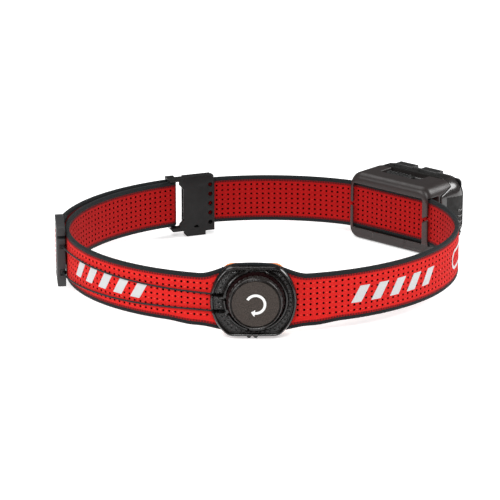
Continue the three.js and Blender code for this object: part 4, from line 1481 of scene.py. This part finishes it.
def side_ribs():
    """Short cooling ribs on both sides of the head, close to its front."""
    back, front = 17.2, 21.6
    for name, sign in (("left", -1), ("right", 1)):
        points, faces = [], []
        for i in range(5):
            height = 1.5 - 3.1 * i
            add_capsule(points, faces, side_place(sign), (back, height), (front, height), -0.15, 0.62, 12)
        ribs = new_piece(f"{name}_cooling_ribs", points, faces, [looks["shell"]], "lamp_head")


lamp_middle = Vector(on_lamp(0, 0, 0))
shade_point = Vector(on_lamp(0, 18, SHADE_LINE))
shade_slant = (LAMP_OUT * 0.12 + Vector((0, 0, 1))).normalized()


def head_zone(centre):
    """Glossy above the shade line, matt below it and on the deck."""
    place = centre - lamp_middle
    on_deck = place.z > DECK_LEVEL and abs(place.dot(LAMP_ALONG)) < DECK_HALF
    in_shade = place.dot(LAMP_OUT) > SHADE_START and (centre - shade_point).dot(shade_slant) < 0
    return int(on_deck or in_shade)


def hook_zone(centre):
    """The two side hooks round the webbing are warmer than the rest of the bracket."""
    place = centre - lamp_middle
    return int(place.dot(LAMP_OUT) < HOOK_FRONT and HOOK_BOTTOM < place.z < HOOK_TOP)


def lamp():
    bracket = [looks["bracket"], looks["hook"]]
    head = [looks["shell"], looks["shell_matt"]]
    moulded("strap_bracket", "root", bracket, bracket_stations(), hook_zone)
    moulded("lamp_housing", "lamp_head", head, head_stations(), head_zone)
    refined("battery_cover", "lamp_head", "shell_matt", 0.3, 3)
    refined("spot_lens", "lamp_head", "lens", 0.12, 3)
    refined("flood_lens", "lamp_head", "lens", 0.12, 3)
    refined("front_gasket", "lamp_head", "rubber", 0.1, 3)
    moulded("front_bezel", "lamp_head", [looks["bezel"]], head_stations())
    side_ribs()
    refined("spot_button", "spot_button", "rubber", 0.4, 3)
    refined("flood_button", "flood_button", "rubber", 0.4, 3)
    refined("battery_latch", "battery_latch", "bezel", 0.2, 2)
    refined("usb_cover", "port_cover", "rubber", 0.25, 2)


CAD_LOOKS = {
    "steel": [
        "centre_post", "knob_collar", "knob_retainer", "hinge_pin", "usb_socket", "spot_switch",
        "flood_switch", *[f"bezel_screw_{i}" for i in (1, 2, 3, 4)],
    ],
    # These red parts take the red darkened nearly to black as painted shade of the gap.
    "gap_shade_red": ["lace_spool", "ratchet_ring", "pawl_ring"],
    "mirror": ["spot_reflector", "flood_reflector"],
    "aluminium": ["heat_sink"],
    "board": ["circuit_board", "led_board", "button_board"],
    "emitter": ["spot_led", "flood_led"],
    "cell": ["battery_pack"],
}


def paint_cad_nodes():
    """The hidden and small CAD pieces keep their shape and take a procedural material."""
    for look, names in CAD_LOOKS.items():
        for name in names:
            for slot in nodes[name].material_slots:
                slot.link = "OBJECT"
                slot.material = looks[look]


# ---------------------------------------------------------------------------
# Stage
# ---------------------------------------------------------------------------


FLOOR_HALF = 6000
LIGHT_AIM = (0, 0, 0.02)    # in metres, as all of the lights' and the camera's places are


def area_light(name, spot, size, power):
    data = bpy.data.lights.new(name, "AREA")
    data.shape = "RECTANGLE"
    data.size, data.size_y = size
    data.energy = power
    light = bpy.data.objects.new(name, data)
    light.location = spot
    light.rotation_euler = (Vector(LIGHT_AIM) - Vector(spot)).to_track_quat("-Z", "Y").to_euler()
    bpy.context.scene.collection.objects.link(light)


def stage():
    """A pale floor, a dim white surround and four soft lights."""
    corners = ((-1, -1), (1, -1), (1, 1), (-1, 1))
    points, faces = skin([[(x * FLOOR_HALF, y * FLOOR_HALF, z) for x, y in corners] for z in (-0.4, -0.05)])
    floor_look = Look("pale_floor", (0.9, 0.9, 0.9), 0.9, Emission_Strength=0.45, Specular_IOR_Level=0.0)
    floor_look.set("Emission Color", (1, 1, 1, 1))
    floor_look.vary_color(floor_look.noise(400), 0.995, 1.005)
    floor = new_piece("floor", points, faces, [floor_look.material], None)
    floor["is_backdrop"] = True
    world = bpy.data.worlds.new("studio")
    world.use_nodes = True
    background = world.node_tree.nodes["Background"]
    background.inputs["Color"].default_value = (1, 1, 1, 1)
    background.inputs["Strength"].default_value = 0.1
    bpy.context.scene.world = world
    area_light("front_box", (-0.15, -1.4, 1.15), (0.75, 0.5), 20)
    area_light("left_box", (-1.2, -0.45, 0.7), (0.4, 0.7), 9)
    area_light("right_box", (1.15, 0.3, 0.85), (0.7, 0.7), 16)
    area_light("top_box", (-0.5, 0.5, 1.3), (1.1, 0.6), 8)
    bpy.context.scene.view_settings.view_transform = "Standard"


CAMERA_SPOT = (-0.00698, -1.2634, 0.4191)
CAMERA_DOWN = math.radians(17.7)
CAMERA_SENSOR, CAMERA_LENS = 36, 189


def camera():
    data = bpy.data.cameras.new("photo_view")
    data.sensor_width = CAMERA_SENSOR
    data.lens = CAMERA_LENS
    data.clip_end = 20
    view = bpy.data.objects.new("photo_view", data)
    view.location = CAMERA_SPOT
    view.rotation_euler = (math.pi / 2 - CAMERA_DOWN, 0, 0)
    bpy.context.scene.collection.objects.link(view)
    bpy.context.scene.camera = view


def record_sizes():
    corners = {"cad": cad_box, "visual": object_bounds()}
    plain = {name: [list(corner) for corner in box] for name, box in corners.items()}


camera()
headband()
lace_bracket()
buckle()
dial()
lamp()
paint_cad_nodes()
stage()
record_sizes()
